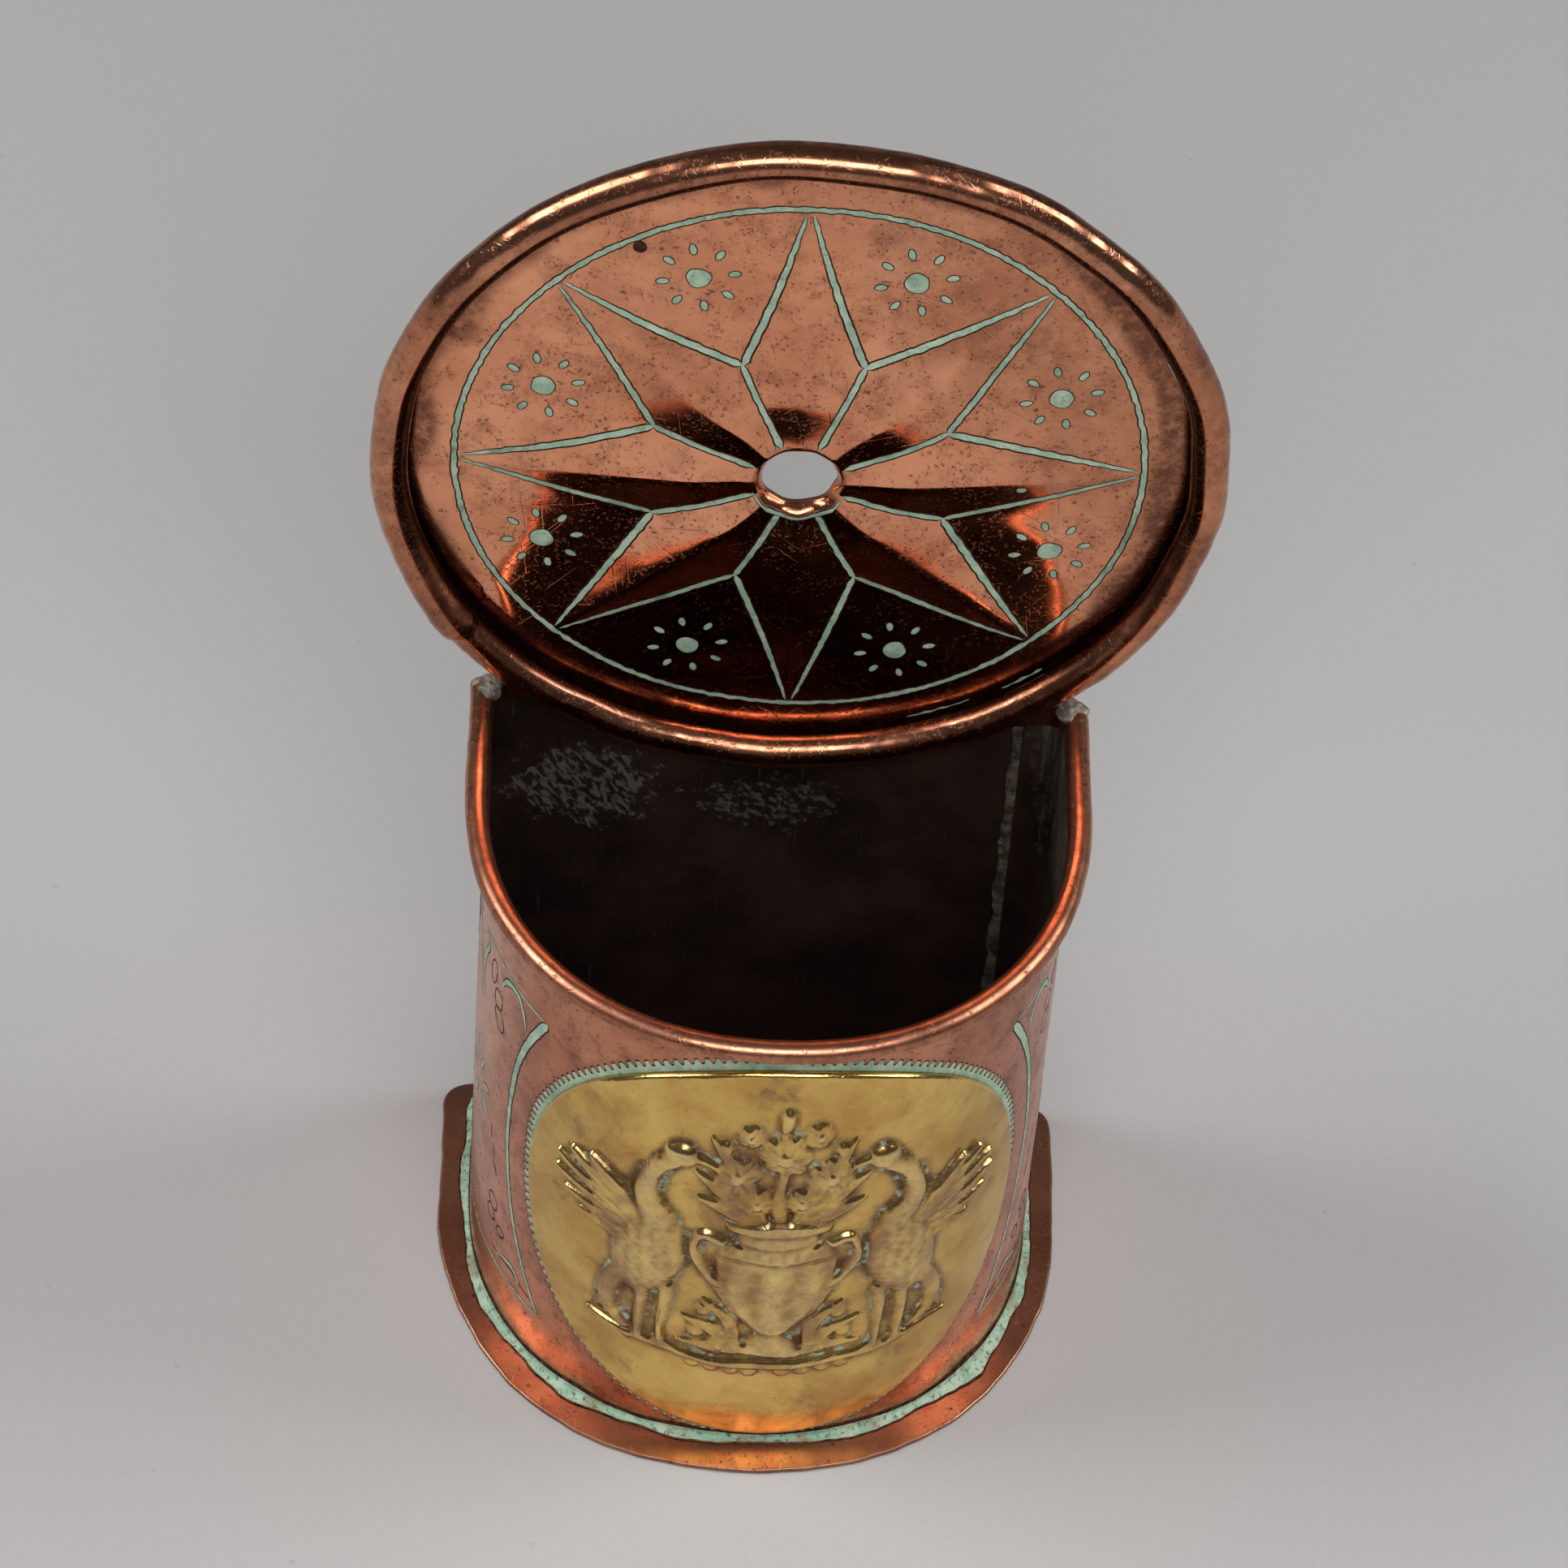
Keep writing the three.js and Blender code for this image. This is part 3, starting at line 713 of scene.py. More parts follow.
def pot_wall():
    heights = np.linspace(FOOT_TOP, FLARE_FOOT, int(46 / FINE))[:-1]
    stations = wall_stations()
    rows = []
    for along in stations:
        rolled = SIDE_RIGHT < along < SIDE_LEFT
        shape = wall_section(heights, rolled)
        # the bead was closed by hand, so it swells and dips a little
        swell = uneven(along, (0.04, 14, 21), (0.012, 3.6, 22))
        on_bead = smoothstep(shape[:, 1], FLARE_FOOT + 1.2, RIM_HEIGHT) * rolled
        dents = wall_dents(along, shape[:, 1]) * (1 - on_bead) * smoothstep(shape[:, 1], FOOT_TOP, 6)
        n = shape[:, 0] + dents + on_bead * swell * np.clip(shape[:, 0], 0, 1)
        z = shape[:, 1] + on_bead * swell * 0.6 * np.clip((shape[:, 1] - RIM_HEIGHT) / RIM_ROLL, -1, 1)
        rows.append(wall_point(along, n, z))
    points = np.array(rows)
    count = points.shape[1]
    faces = grid_faces(len(points), count, wrap_columns=True)
    # the bead shows the sheet's inner face turned out, so only the part below its root is unpolished
    root = count - len(heights) - 5
    column = np.tile(np.arange(count), len(points) - 1)
    near_cap = [(k, k + 1, count - 2 - k, count - 1 - k) for k in range(count // 2 - 1)]
    last = (len(points) - 1) * count
    far_cap = [tuple(last + corner_point for corner_point in cap)[::-1] for cap in near_cap]
    rubbed = smoothstep(points[..., 2], RIM_HEIGHT - 1.2, RIM_HEIGHT - 0.6)
    # painted shade on the bead's inner flank, where it turns down into the pot
    inner_flank = (np.arange(count) >= root) & (np.arange(count) < count - len(heights) + 12)
    dirt_and_shade = np.maximum(wall_dirt_and_shade(points, stations), 0.75 * inner_flank)
    # mottled dirt over the whole wall, and more darkening on the bead's upper half: tarnish with painted
    # shade for the dark room it reflects
    dirt_and_shade = np.maximum(dirt_and_shade, 0.2 + 0.34 * rubbed)
    make_piece("pot_wall", points, faces, [WALL_COPPER, INSIDE], "copper", ["pot_body"],
               (column >= root).astype(int), near_cap + far_cap, {"dirt_and_shade": dirt_and_shade, "rubbed": rubbed})


def wall_dirt_and_shade(points, stations):
    """Dirt beside the medallion's border, painted shade in the crease above the foot's solder, and a darker
    band under the bead.
    """
    z = points[..., 2]
    far = np.hypot((stations[:, None] + MEDALLION_SHIFT) / MEDALLION_HALF_WIDTH,
                   (z - MEDALLION_HEIGHT) / MEDALLION_HALF_HEIGHT)
    beside = 0.5 * (1 - smoothstep(far, 1.03, 1.12))
    # painted shade in the crease above the foot's solder, where the dark foot is reflected
    above = 0.7 * (1 - smoothstep(z, 1.0, 2.6))
    # darker in a band under the bead
    under = 0.35 * smoothstep(z, FLARE_FOOT - 2, FLARE_FOOT + 1) * (z < RIM_HEIGHT - 0.4)
    return np.maximum(np.maximum(beside, above), under)


# --- engraving on the pot ---------------------------------------------------------------------------------

def wall_surface(along, height, lift):
    return wall_point(along, wall_dents(along, height) * smoothstep(height, FOOT_TOP, 6) + lift, height)


def arc_line(centre, radius, first, last, count=60):
    return np.array(centre) + radius * unit(np.linspace(first, last, count))


def side_panel(marks, sign):
    """One engraved panel on a side of the bow, placed by sign: arched front and rear edges, straight edges
    above and below, curls and loops in its corners, two stems on its middle line, a leaf flower between."""
    near, axis, top, bottom = 22.4, 36.2, 47.3, 7.0
    arch, arch_radius, arch_half_height = 28.0, 38.5, 20.1
    reach = math.asin(arch_half_height / arch_radius)
    edge = arc_line((arch - arch_radius, MEDALLION_HEIGHT), arch_radius, -reach, reach)
    filled = [
        (edge, [0.15, 0.2, 0.25, 0.31, 0.4]),
        ([(near + 0.4, top), (axis - 1.8, top)], [0.14, 0.11, 0.11, 0.14]),
        ([(near, bottom), (30, bottom + 0.3), (axis, bottom)], [0.13, 0.12, 0.11]),
        (smooth([(30.0, 44.4), (28.8, 46.2), (26.9, 46.6), (25.9, 45.4), (25.3, 43.4)]),
         [0.1, 0.27, 0.3, 0.2, 0.1]),
        (smooth([(34.9, 46.0), (34.2, 46.5), (33.7, 45.6), (34.7, 43.6), (35.5, 40.4), (35.9, 36.6)]),
         [0.2, 0.27, 0.2, 0.13, 0.1, 0.07]),
        (smooth([(25.2, 8.3), (25.9, 9.5), (27.4, 9.7), (29.6, 8.7)]), [0.1, 0.24, 0.12, 0.07]),
    ]
    loops = [((30.7, 41.9), 0.9, 1.265, 0.3), ((30.4, 39.6), 1.02, 1.32, -0.3),
             ((32.0, 44.2), 0.72, 1.65, 0.2), ((30.6, 14.6), 0.96, 0.99, 0.0),
             ((31.0, 12.8), 0.84, 0.88, 0.3), ((28.9, 12.1), 0.6, 0.88, 0.9)]
    dark = [[(near + 0.9, bottom + 1.2), (26.5, 9.2), (30.5, 8.8)]]
    dark += [[(along, height - 0.8), (along + tilt, height + 0.8)]
             for along, height, tilt in ((31.2, 23.4, 0.35), (30.4, 21.6, 0.5), (29.9, 19.6, 0.7))]

    def line(points, flip=False):
        points = np.array(points, float)
        along = 2 * axis - points[:, 0] if flip else points[:, 0]
        return join(-MEDALLION_SHIFT + sign * along, points[:, 1])

    for flip in (False, True):
        seed = 20 + 10 * sign + 5 * flip
        for k, (points, width) in enumerate(filled):
            marks.strip(line(points, flip), width, seed=seed + k)
        for points in dark:
            marks.strip(line(points, flip), 0.07, filled=False)
        for loop in loops:
            marks.strip(line(oval(*loop), flip), 0.06, closed=True, filled=False)
    for k in range(8):
        root, tip = (np.array((axis, 25.7)) + r * unit(math.pi * (2 * k + 1) / 8) for r in (1.5, 4.2))
        marks.strip(line([root, tip]), [0.07, 0.3, 0.08], seed=30 + k)


def smooth(points, count=40):
    """A smooth open line through a few points."""
    points = np.array(points, float)
    t = np.linspace(0, len(points) - 1, count)
    k = np.clip(t.astype(int), 0, len(points) - 2)
    f = (t - k)[:, None]
    before, after = points[np.maximum(k - 1, 0)], points[np.minimum(k + 2, len(points) - 1)]
    a, b = points[k], points[k + 1]
    slope_a, slope_b = (b - before) / 2, (after - a) / 2
    return ((2 * f**3 - 3 * f**2 + 1) * a + (f**3 - 2 * f**2 + f) * slope_a
            + (3 * f**2 - 2 * f**3) * b + (f**3 - f**2) * slope_b)


def oval(centre, half_u, half_v, turn):
    angle = np.linspace(0, 2 * math.pi, 40, endpoint=False)
    return np.array(centre) + np.stack(turned(half_u * np.cos(angle), half_v * np.sin(angle), turn), -1)


def toothed_border(marks):
    """The chased border round the medallion, cut in small teeth and filled."""
    pitch, step, edge = 0.9, 0.1 * FINE, 0.2
    around = math.pi * (MEDALLION_HALF_WIDTH + MEDALLION_HALF_HEIGHT)
    angle = np.linspace(0, 2 * math.pi, int(around / step), endpoint=False)
    # the border is widest over the top, and is cut off at the foot's solder below
    width = 0.55 + 0.4 * np.cos(angle) ** 2 + 0.5 * smoothstep(np.sin(angle), 0.7, 1.0)
    width = width + 0.08 * waves(unit(angle), 0.5, 31)
    tooth = 0.5 + 0.5 * np.cos(int(around / pitch) * angle + 0.8 * np.sin(3 * angle))
    outer = width + 0.62 * smoothstep(tooth, 0.15, 0.7)
    offsets = join(0, 0.1, 0.62 * outer, outer, outer + 0.85 * edge, outer + edge)
    lifts = np.array([-0.05, 0.012, 0.018, 0.014, 0.006, -0.04])
    u = -MEDALLION_SHIFT + (MEDALLION_HALF_WIDTH - 0.3 + offsets) * np.cos(angle)[:, None]
    v = MEDALLION_HEIGHT + (MEDALLION_HALF_HEIGHT - 0.3 + offsets) * np.sin(angle)[:, None]
    v = np.maximum(v, FOOT_TOP + 0.4)
    top = wall_surface(u, v, lifts)
    low = wall_surface(u[:, ::5], v[:, ::5], marks.SUNK)[:, ::-1]
    section = np.concatenate([top, low], 1)
    faces = grid_faces(*section.shape[:2], wrap_rows=True, wrap_columns=True)
    marks.add(section, faces, np.tile(3 * [FILLED] + 5 * [DARK], len(section)))


def wall_engraving():
    marks = Residue(wall_surface)
    for sign in (-1, 1):
        side_panel(marks, sign)
    toothed_border(marks)
    marks.piece("pot_engraving")


# --- the backplate ----------------------------------------------------------------------------------------

def disc_ground(radius):
    dish = DISC_RISE * (1 - smoothstep(radius, CIRCLE_RADIUS, DISC_RING))
    return dish + DISC_DOME * (1 - np.minimum(1, radius / CIRCLE_RADIUS) ** 2.5)


def star_height(radius, angle):
    """Height of the star: ridges from each tip to the centre, falling to the valleys between the petals."""
    turn = np.abs(np.mod(angle - STAR_TURN + SECTOR / 2, SECTOR) - SECTOR / 2)
    along, across = radius * np.cos(turn), radius * np.sin(turn)
    fall = STAR_RISE / CIRCLE_RADIUS
    valley = STAR_VALLEY * unit(SECTOR / 2)  # where two petals meet, along and across a ridge
    cross_fall = (STAR_RISE - fall * valley[0]) / valley[1]
    rubbed = 0.35  # the ridges are rubbed round
    across = np.hypot(across, rubbed) - rubbed
    height = STAR_RISE - fall * along - cross_fall * across
    soft = 0.12
    return np.where(height > soft, height, soft * np.exp(np.minimum(0, (height - soft) / soft)))


def disc_front(x, z):
    """Depth (y) of the plate's front face at x, z from its centre."""
    radius, angle = np.hypot(x, z), np.arctan2(x, z)
    rise = disc_ground(radius) + star_height(np.maximum(radius, LIP_RADIUS), angle)
    rise = rise - HOLE_DIP * (1 - smoothstep(radius, LIP_RADIUS, HOLE_DIP_RADIUS))
    # the punch has bulged the sheet round each flower
    turn = np.mod(angle - STAR_TURN, SECTOR) - SECTOR / 2
    from_flower = np.hypot(radius * np.cos(turn) - FLOWER_RING, radius * np.sin(turn))
    rise = rise + 0.08 * np.exp(-((from_flower / 2.8) ** 2))
    flat = join(x, z)
    dents = uneven(flat, (0.05, 16, 41), (0.02, 5, 42))
    dents = dents * (1 - smoothstep(radius, CIRCLE_RADIUS, DISC_RING))
    return PLATE_BACK - SHEET - rise - dents


LIP_STEPS = 11  # points round the hole's lip


def plate_radii(within, beyond):
    """Radii from the lip's root to the bead's, so many within the circle and so many beyond it."""
    return np.concatenate([np.linspace(LIP_RADIUS, CIRCLE_RADIUS, int(within / FINE)),
                           np.linspace(CIRCLE_RADIUS, DISC_RING - 0.9, int(beyond / FINE))[1:]])


FRONT_RADII, REAR_RADII = plate_radii(88, 18), plate_radii(30, 8)
# round the bead's outer and its hidden face
BEAD_TURN, HIDDEN_TURN = (math.pi / 2 - ROLL_TURN * np.linspace(0, 1, int(steps / FINE))
                          for steps in (48, 20))


def plate_section(angle, lip_root):
    """Radii and depths of the plate's section at an angle: from the hole's lip over the front and into the
    bead, then from the bead's lip round and back over the rear."""
    sin, cos = math.sin(angle), math.cos(angle)
    front_y, rear_y = (disc_front(r * sin, r * cos) for r in (FRONT_RADII, REAR_RADII))
    # the lip is turned back to one depth all round
    share = np.linspace(1, 0, LIP_STEPS + 1)[:-1]
    hole = HOLE_RADIUS * (1 + 0.02 * waves((sin, cos), 0.8, 51))
    lip_r = hole + (LIP_RADIUS - hole) * (1 - share)
    lip_y = front_y[0] * (1 - share) + lip_root * share + HOLE_LIP * share**2.2
    # the bead was closed by hand: its width and line wander, and its lip steps at one place on the left
    here = polar(30, angle)
    swell = uneven(here, (0.07, 8, 52), (0.03, 3.0, 53), (0.01, 1.2, 54))
    swell += 0.06 * waves(here, 1.5, 58) * smoothstep(-cos, 0.72, 0.86) * smoothstep(abs(sin), 0.1, 0.3)
    degrees = math.degrees(angle)
    step = 0.3 * smoothstep(degrees, 233.4, 234.2) * (1 - smoothstep(degrees, 234.6, 252))
    middle = DISC_RING - 0.12 + 0.1 * waves(here, 12, 55) + 0.5 * swell

    def bead(turn, thickness):
        grown = 1 + (0.6 * swell + step) / DISC_ROLL * np.clip(0.4 - np.sin(turn), 0, 1)
        radius = DISC_ROLL * np.minimum(1.2, grown) - thickness
        r, y = middle + radius * np.cos(turn), PLATE_BACK - DISC_ROLL + radius * np.sin(turn)
        return join(np.minimum(r, DISC_RING + DISC_ROLL), y)

    front = [join(lip_r, lip_y), join(FRONT_RADII, front_y), bead(HIDDEN_TURN, SHEET)]
    rear = [join(lip_r + 0.02, lip_y + SHEET), join(REAR_RADII, rear_y + SHEET),
            bead(BEAD_TURN, 0)]
    return np.vstack(front + [np.vstack(rear)[::-1]])


def plate_dirt_and_shade(r, y, sin, cos):
    """How much dirt and painted shade darken the plate at the points of its sections, and where its bead is
    rubbed bright.
    """
    flat = join(r * sin, r * cos)
    # dirt lies in the groove and beside it; the right of the plate is tarnished furthest in
    reach = 31.2 - 2.0 * smoothstep(r * sin, 12, 30) - 0.6 * smoothstep(-r * sin - 0.4 * r * cos, 12, 30)
    reach = reach + 0.6 * waves(flat, 9, 56)
    groove = smoothstep(r, reach, reach + 1.7) * (y > PLATE_BACK - 1.9 * DISC_ROLL)
    upper_right = 0.36 * smoothstep(r * (sin + 0.8 * cos), 14, 34) * (r < DISC_RING)
    # painted shade that dulls the highlight on the hole's lip
    lip = 0.45 * (r < LIP_RADIUS - 0.05)
    beaded = (y <= PLATE_BACK - SHEET - DISC_RISE - 0.1) & (r > DISC_RING - DISC_ROLL - 0.3)
    # the bead is darkened most at its top and bottom: tarnish, with painted shade for the dark room it
    # reflects
    on_bead = 0.44 + 0.34 * smoothstep(0.7 * waves(flat, 11, 57) + 0.5 * np.abs(cos), -0.3, 1.2)
    # painted shade on the bead's inner flank, where it curls into the groove
    inner_flank = 0.85 * smoothstep(DISC_RING - r, 0.3, 1.1)
    outside = 0.75 * smoothstep(r, DISC_RING + 0.8, DISC_RING + DISC_ROLL)
    dirt_and_shade = np.where(beaded, np.maximum(on_bead, inner_flank), np.maximum.reduce([groove, upper_right, lip]))
    return np.maximum(dirt_and_shade, outside), np.maximum(beaded, smoothstep(r, DISC_RING, DISC_RING + 0.5))


def back_plate():
    """The plate as a ring of sections round its middle."""
    angle = np.linspace(0, 2 * math.pi, int(420 / FINE), endpoint=False)[:, None]
    sin, cos = np.sin(angle), np.cos(angle)
    lip_root = disc_front(LIP_RADIUS * sin, LIP_RADIUS * cos).mean()
    section = np.array([plate_section(a, lip_root) for a in angle[:, 0]])
    r, y = section[..., 0], section[..., 1]
    dirt_and_shade, rubbed = plate_dirt_and_shade(r, y, sin, cos)
    behind = np.arange(r.shape[1]) >= LIP_STEPS + len(FRONT_RADII) + len(HIDDEN_TURN) + len(BEAD_TURN)
    make_piece("back_plate", join(r * sin, y, DISC_HEIGHT + r * cos),
               grid_faces(*r.shape, wrap_rows=True, wrap_columns=True), [DISC_COPPER, BACK_COPPER], "copper",
               ["back_disc"], np.tile(behind, len(r)).astype(int), values={"dirt_and_shade": dirt_and_shade, "rubbed": rubbed},
               welded=False)


def disc_surface(x, z, lift):
    return join(x, disc_front(x, z) - lift, z + DISC_HEIGHT)


def polar(radius, angle):
    return np.array([radius * math.sin(angle), radius * math.cos(angle)])


def disc_engraving():
    """The star's outline, its valley lines, the circle round it, the flowers between its tips, and what is
    left of the residue in the groove inside the bead."""
    marks = Residue(disc_surface)
    rng = np.random.default_rng(5)
    for k in range(STAR_POINTS):
        between = STAR_TURN + (k + 0.5) * SECTOR
        for side in (-1, 1):
            tip = polar(CIRCLE_RADIUS - 0.5, STAR_TURN + k * SECTOR + 0.009 * side)
            valley = polar(STAR_VALLEY, STAR_TURN + (k + side / 2) * SECTOR)
            bow = 0.25 * rng.uniform(-0.3, 1) / 16
            middle = (tip + valley) / 2 + bow * side * np.array([valley[1] - tip[1], tip[0] - valley[0]])
            marks.strip(smooth([valley, middle, tip]), [0.27, 0.27, 0.23, 0.11], seed=20 + 2 * k + side)
        marks.strip([polar(LIP_RADIUS + 0.1, between), polar(STAR_VALLEY + 0.2, between)],
                    [0.27, 0.23, 0.23, 0.25], seed=40 + k)
        flower(marks, polar(FLOWER_RING, between), k)
    marks.spot(-14.4, 24.2, 0.5, 0.5, seed=61, filled=False)
    marks.spot(18.8, -0.6, 0.42, 0.36, seed=62)
    ring = arc_line((0, 0), CIRCLE_RADIUS, 0, 2 * math.pi, 200)[:-1]
    marks.strip(ring, 0.22, ragged=0.055, seed=60, closed=True)
    lip = arc_line((0, 0), LIP_RADIUS + 0.1, math.radians(200), math.radians(335), 40)
    marks.strip(lip, [0.06, 0.2, 0.14, 0.22, 0.06], ragged=0.06, seed=63)
    # broken lines of residue in the groove, thick in places and missing in others
    angle = 0.0
    while angle < 2 * math.pi - 0.08:
        length = rng.uniform(0.03, 0.3)
        radius = DISC_RING - DISC_ROLL - 0.28 + rng.uniform(-0.1, 0.1)
        keep = waves((math.sin(angle), math.cos(angle)), 1.3, 71)
        if keep > -0.35 and math.sin(angle) > -0.1:
            line = [polar(radius + 0.06 * math.sin(9 * t), t) for t in np.linspace(angle, angle + length, 24)]
            width = rng.uniform(0.05, 0.13) + 0.07 * max(0, keep)
            marks.strip(line, [width, 0.5 * width, width, 0.4 * width], ragged=0.1, seed=int(angle * 100))
        angle += length + rng.uniform(0.01, 0.1)
    marks.piece("plate_engraving")


def flower(marks, place, seed):
    """A punched flower: a round eye and eight petals."""
    marks.spot(*place, 1.0, 1.0, seed=seed)
    for k in range(8):
        angle = 2 * math.pi * k / 8 + 0.2
        marks.spot(*(place + 3.0 * unit(angle)), 0.52, 0.28, turn=angle, seed=seed * 9 + k, sides=14)


# --- the medallion ----------------------------------------------------------------------------------------

class Relief:
    """A height field over the medallion's u, v, built up from rounded strokes and lumps."""

    def __init__(self, u, v):
        self.u, self.v = u, v
        self.height = np.zeros_like(u)

    def raise_to(self, height):
        self.height = np.maximum(self.height, height)

    def stroke(self, points, radii, tall, mirror=True, ridge=0.0):
        """A rounded ridge along a smooth line, its radii given at steps; ridge is the depth of its vein."""
        line = smooth(points, 26)
        radius = np.interp(np.linspace(0, 1, 26), np.linspace(0, 1, len(radii)), radii)
        for sign in ((1, -1) if mirror else (1,)):
            best = np.full(self.u.shape, 9.0)
            for k in range(25):
                a, b = line[k] * (sign, 1), line[k + 1] * (sign, 1)
                low = np.minimum(a, b) - radius.max()
                high = np.maximum(a, b) + radius.max()
                near = (self.u > low[0]) & (self.u < high[0]) & (self.v > low[1]) & (self.v < high[1])
                du, dv = self.u[near] - a[0], self.v[near] - a[1]
                span = b - a
                t = np.clip((du * span[0] + dv * span[1]) / max(span @ span, 1e-9), 0, 1)
                far = np.hypot(du - t * span[0], dv - t * span[1])
                best[near] = np.minimum(best[near], far / (radius[k] * (1 - t) + radius[k + 1] * t))
            dome = np.sqrt(np.clip(1 - best**2, 0, 1))
            vein = ridge * np.exp(-((best / 0.22) ** 2)) * (best < 1)
            self.raise_to(tall * dome - vein)

    def lump(self, centre, half_u, half_v, turn, tall, mirror=True):
        for sign in ((1, -1) if mirror else (1,)):
            du, dv = self.u - sign * centre[0], self.v - centre[1]
            c, s = math.cos(sign * turn), math.sin(sign * turn)
            a, b = (du * c + dv * s) / half_u, (-du * s + dv * c) / half_v
            self.raise_to(tall * np.sqrt(np.clip(1 - a * a - b * b, 0, 1)))

    def rosette(self, centre, radius, petals, tall, mirror=True):
        for sign in ((1, -1) if mirror else (1,)):
            du, dv = self.u - sign * centre[0], self.v - centre[1]
            r, angle = np.hypot(du, dv) / radius, np.arctan2(dv, du)
            edge = 0.82 + 0.18 * np.abs(np.cos(petals * angle / 2))
            inside = np.clip(1 - (r / edge) ** 2, 0, 1)
            cut = 0.35 * np.exp(-((np.sin(petals * angle / 2) / 0.3) ** 2)) * (r > 0.3)
            eye = 0.5 * np.sqrt(np.clip(1 - (r / 0.28) ** 2, 0, 1))
            self.raise_to(tall * (np.sqrt(inside) * (0.75 - cut) * (r < edge) + 0.5 * eye))


def standing_birds(relief):
    """Two long-necked birds that stand facing each other."""
    relief.lump((-12.4, -1.6), 3.5, 5.6, -0.32, 0.95)
    relief.stroke([(-11.6, 2.6), (-13.0, 5.6), (-12.2, 8.6), (-10.1, 10.3)], [2.0, 1.25, 0.95, 0.9], 0.85)
    relief.lump((-9.6, 11.0), 1.75, 1.3, 0.1, 0.95)
    relief.stroke([(-8.6, 11.1), (-6.9, 10.7), (-5.9, 9.9)], [0.6, 0.36, 0.16], 0.55)
    for k in range(7):
        # feathers of the raised wing, longest in the middle
        turn = 1.15 + 0.21 * k
        reach = 9.6 - 0.42 * (k - 2) ** 2
        tip = (-14.0 + reach * math.cos(turn + 1.05), 0.4 + reach * math.sin(turn + 1.05))
        bend = (-15.6 + 0.3 * k, 4.4 - 0.95 * k)
        relief.stroke([(-13.2, 1.6 - 0.5 * k), bend, tip], [0.8, 1.0, 0.35], 0.72 - 0.03 * k, ridge=0.2)
    for k in range(4):
        relief.stroke([(-14.2, -4.2), (-15.8 - 0.3 * k, -7.2 - 0.5 * k), (-17.4 + 1.1 * k, -10.6 - 0.4 * k)],
                      [0.95, 0.8, 0.3], 0.62, ridge=0.18)
    for foot in (-12.9, -10.6):
        relief.stroke([(foot + 0.3, -5.6), (foot - 0.2, -8.8), (foot, -12.4)], [0.8, 0.42, 0.4], 0.6)
        for toe in (-1.5, 0.2, 1.7):
            relief.stroke([(foot, -12.3), (foot + 0.6 * toe, -12.9), (foot + toe, -13.0)],
                          [0.35, 0.3, 0.15], 0.5)
    scales = 0.1 * np.sin(relief.u * 4.6 + 1.2 * np.sin(relief.v * 4.2)) * np.sin(relief.v * 4.2)
    from_breast = np.hypot((np.abs(relief.u) - 12.4) / 3.0, (relief.v + 1.6) / 4.8)
    relief.height = relief.height + scales * (from_breast < 1)


def urn(relief):
    """A footed urn with gadroons, two handles and a wide lip."""
    levels = [-12.4, -11.6, -11.2, -9.6, -9.0, -7.2, -4.0, -0.6, 1.0, 1.6, 2.7, 3.0, 4.0, 4.4]
    widths = [3.9, 4.0, 2.8, 1.35, 2.0, 4.2, 5.9, 5.8, 4.6, 3.9, 3.9, 5.1, 5.3, 0.0]
    width = np.interp(relief.v, levels, widths, left=0, right=0)
    across = relief.u / np.maximum(width, 0.01)
    body = np.sqrt(np.clip(1 - across**2, 0, 1)) * (width > 0)
    lobes = 0.13 * np.cos(9 * np.arcsin(np.clip(across, -1, 1))) * smoothstep(relief.v, -8.4, -6.6)
    lobes = lobes * (1 - smoothstep(relief.v, -1.6, -0.2))
    beads = 0.1 * np.cos(relief.u * 5.2) * (np.abs(relief.v - 0.6) < 0.55)
    relief.raise_to((0.95 + lobes + beads) * body)
    for level in (-0.4, 1.5, 2.9, -9.4):
        line = np.exp(-(((relief.v - level) / 0.22) ** 2)) * (np.abs(across) < 0.97)
        relief.height = relief.height - 0.2 * line
    relief.stroke([(5.2, 1.4), (7.1, 2.2), (7.7, -0.4), (6.6, -2.6), (5.4, -3.4)],
                  [0.55, 0.5, 0.5, 0.5, 0.6], 0.62)


def bouquet(relief):
    """Open flowers and leaves standing in the urn."""
    for tip in ((-8.0, 6.4), (-8.4, 9.6), (-6.8, 13.6)):
        bend = (0.55 * tip[0], 4.2 + 0.5 * (tip[1] - 4.2))
        relief.stroke([(0.2 * tip[0], 3.8), bend, tip], [0.5, 1.1, 0.15], 0.5, ridge=0.16)
    relief.stroke([(0, 4.2), (0, 8), (0, 11)], [1.0, 0.6, 0.5], 0.5, mirror=False)
    for rosette in (((0, 12.2), 2.7, 8, 1.0), ((-4.4, 9.6), 2.3, 7, 0.95), ((-2.1, 6.6), 1.8, 6, 0.85),
                    ((-3.3, 14.3), 1.5, 5, 0.8)):
        relief.rosette(*rosette)
    relief.lump((0, 16.0), 0.8, 1.3, 0, 0.7)
    relief.lump((-5.4, 12.6), 0.55, 0.8, 0.4, 0.55)


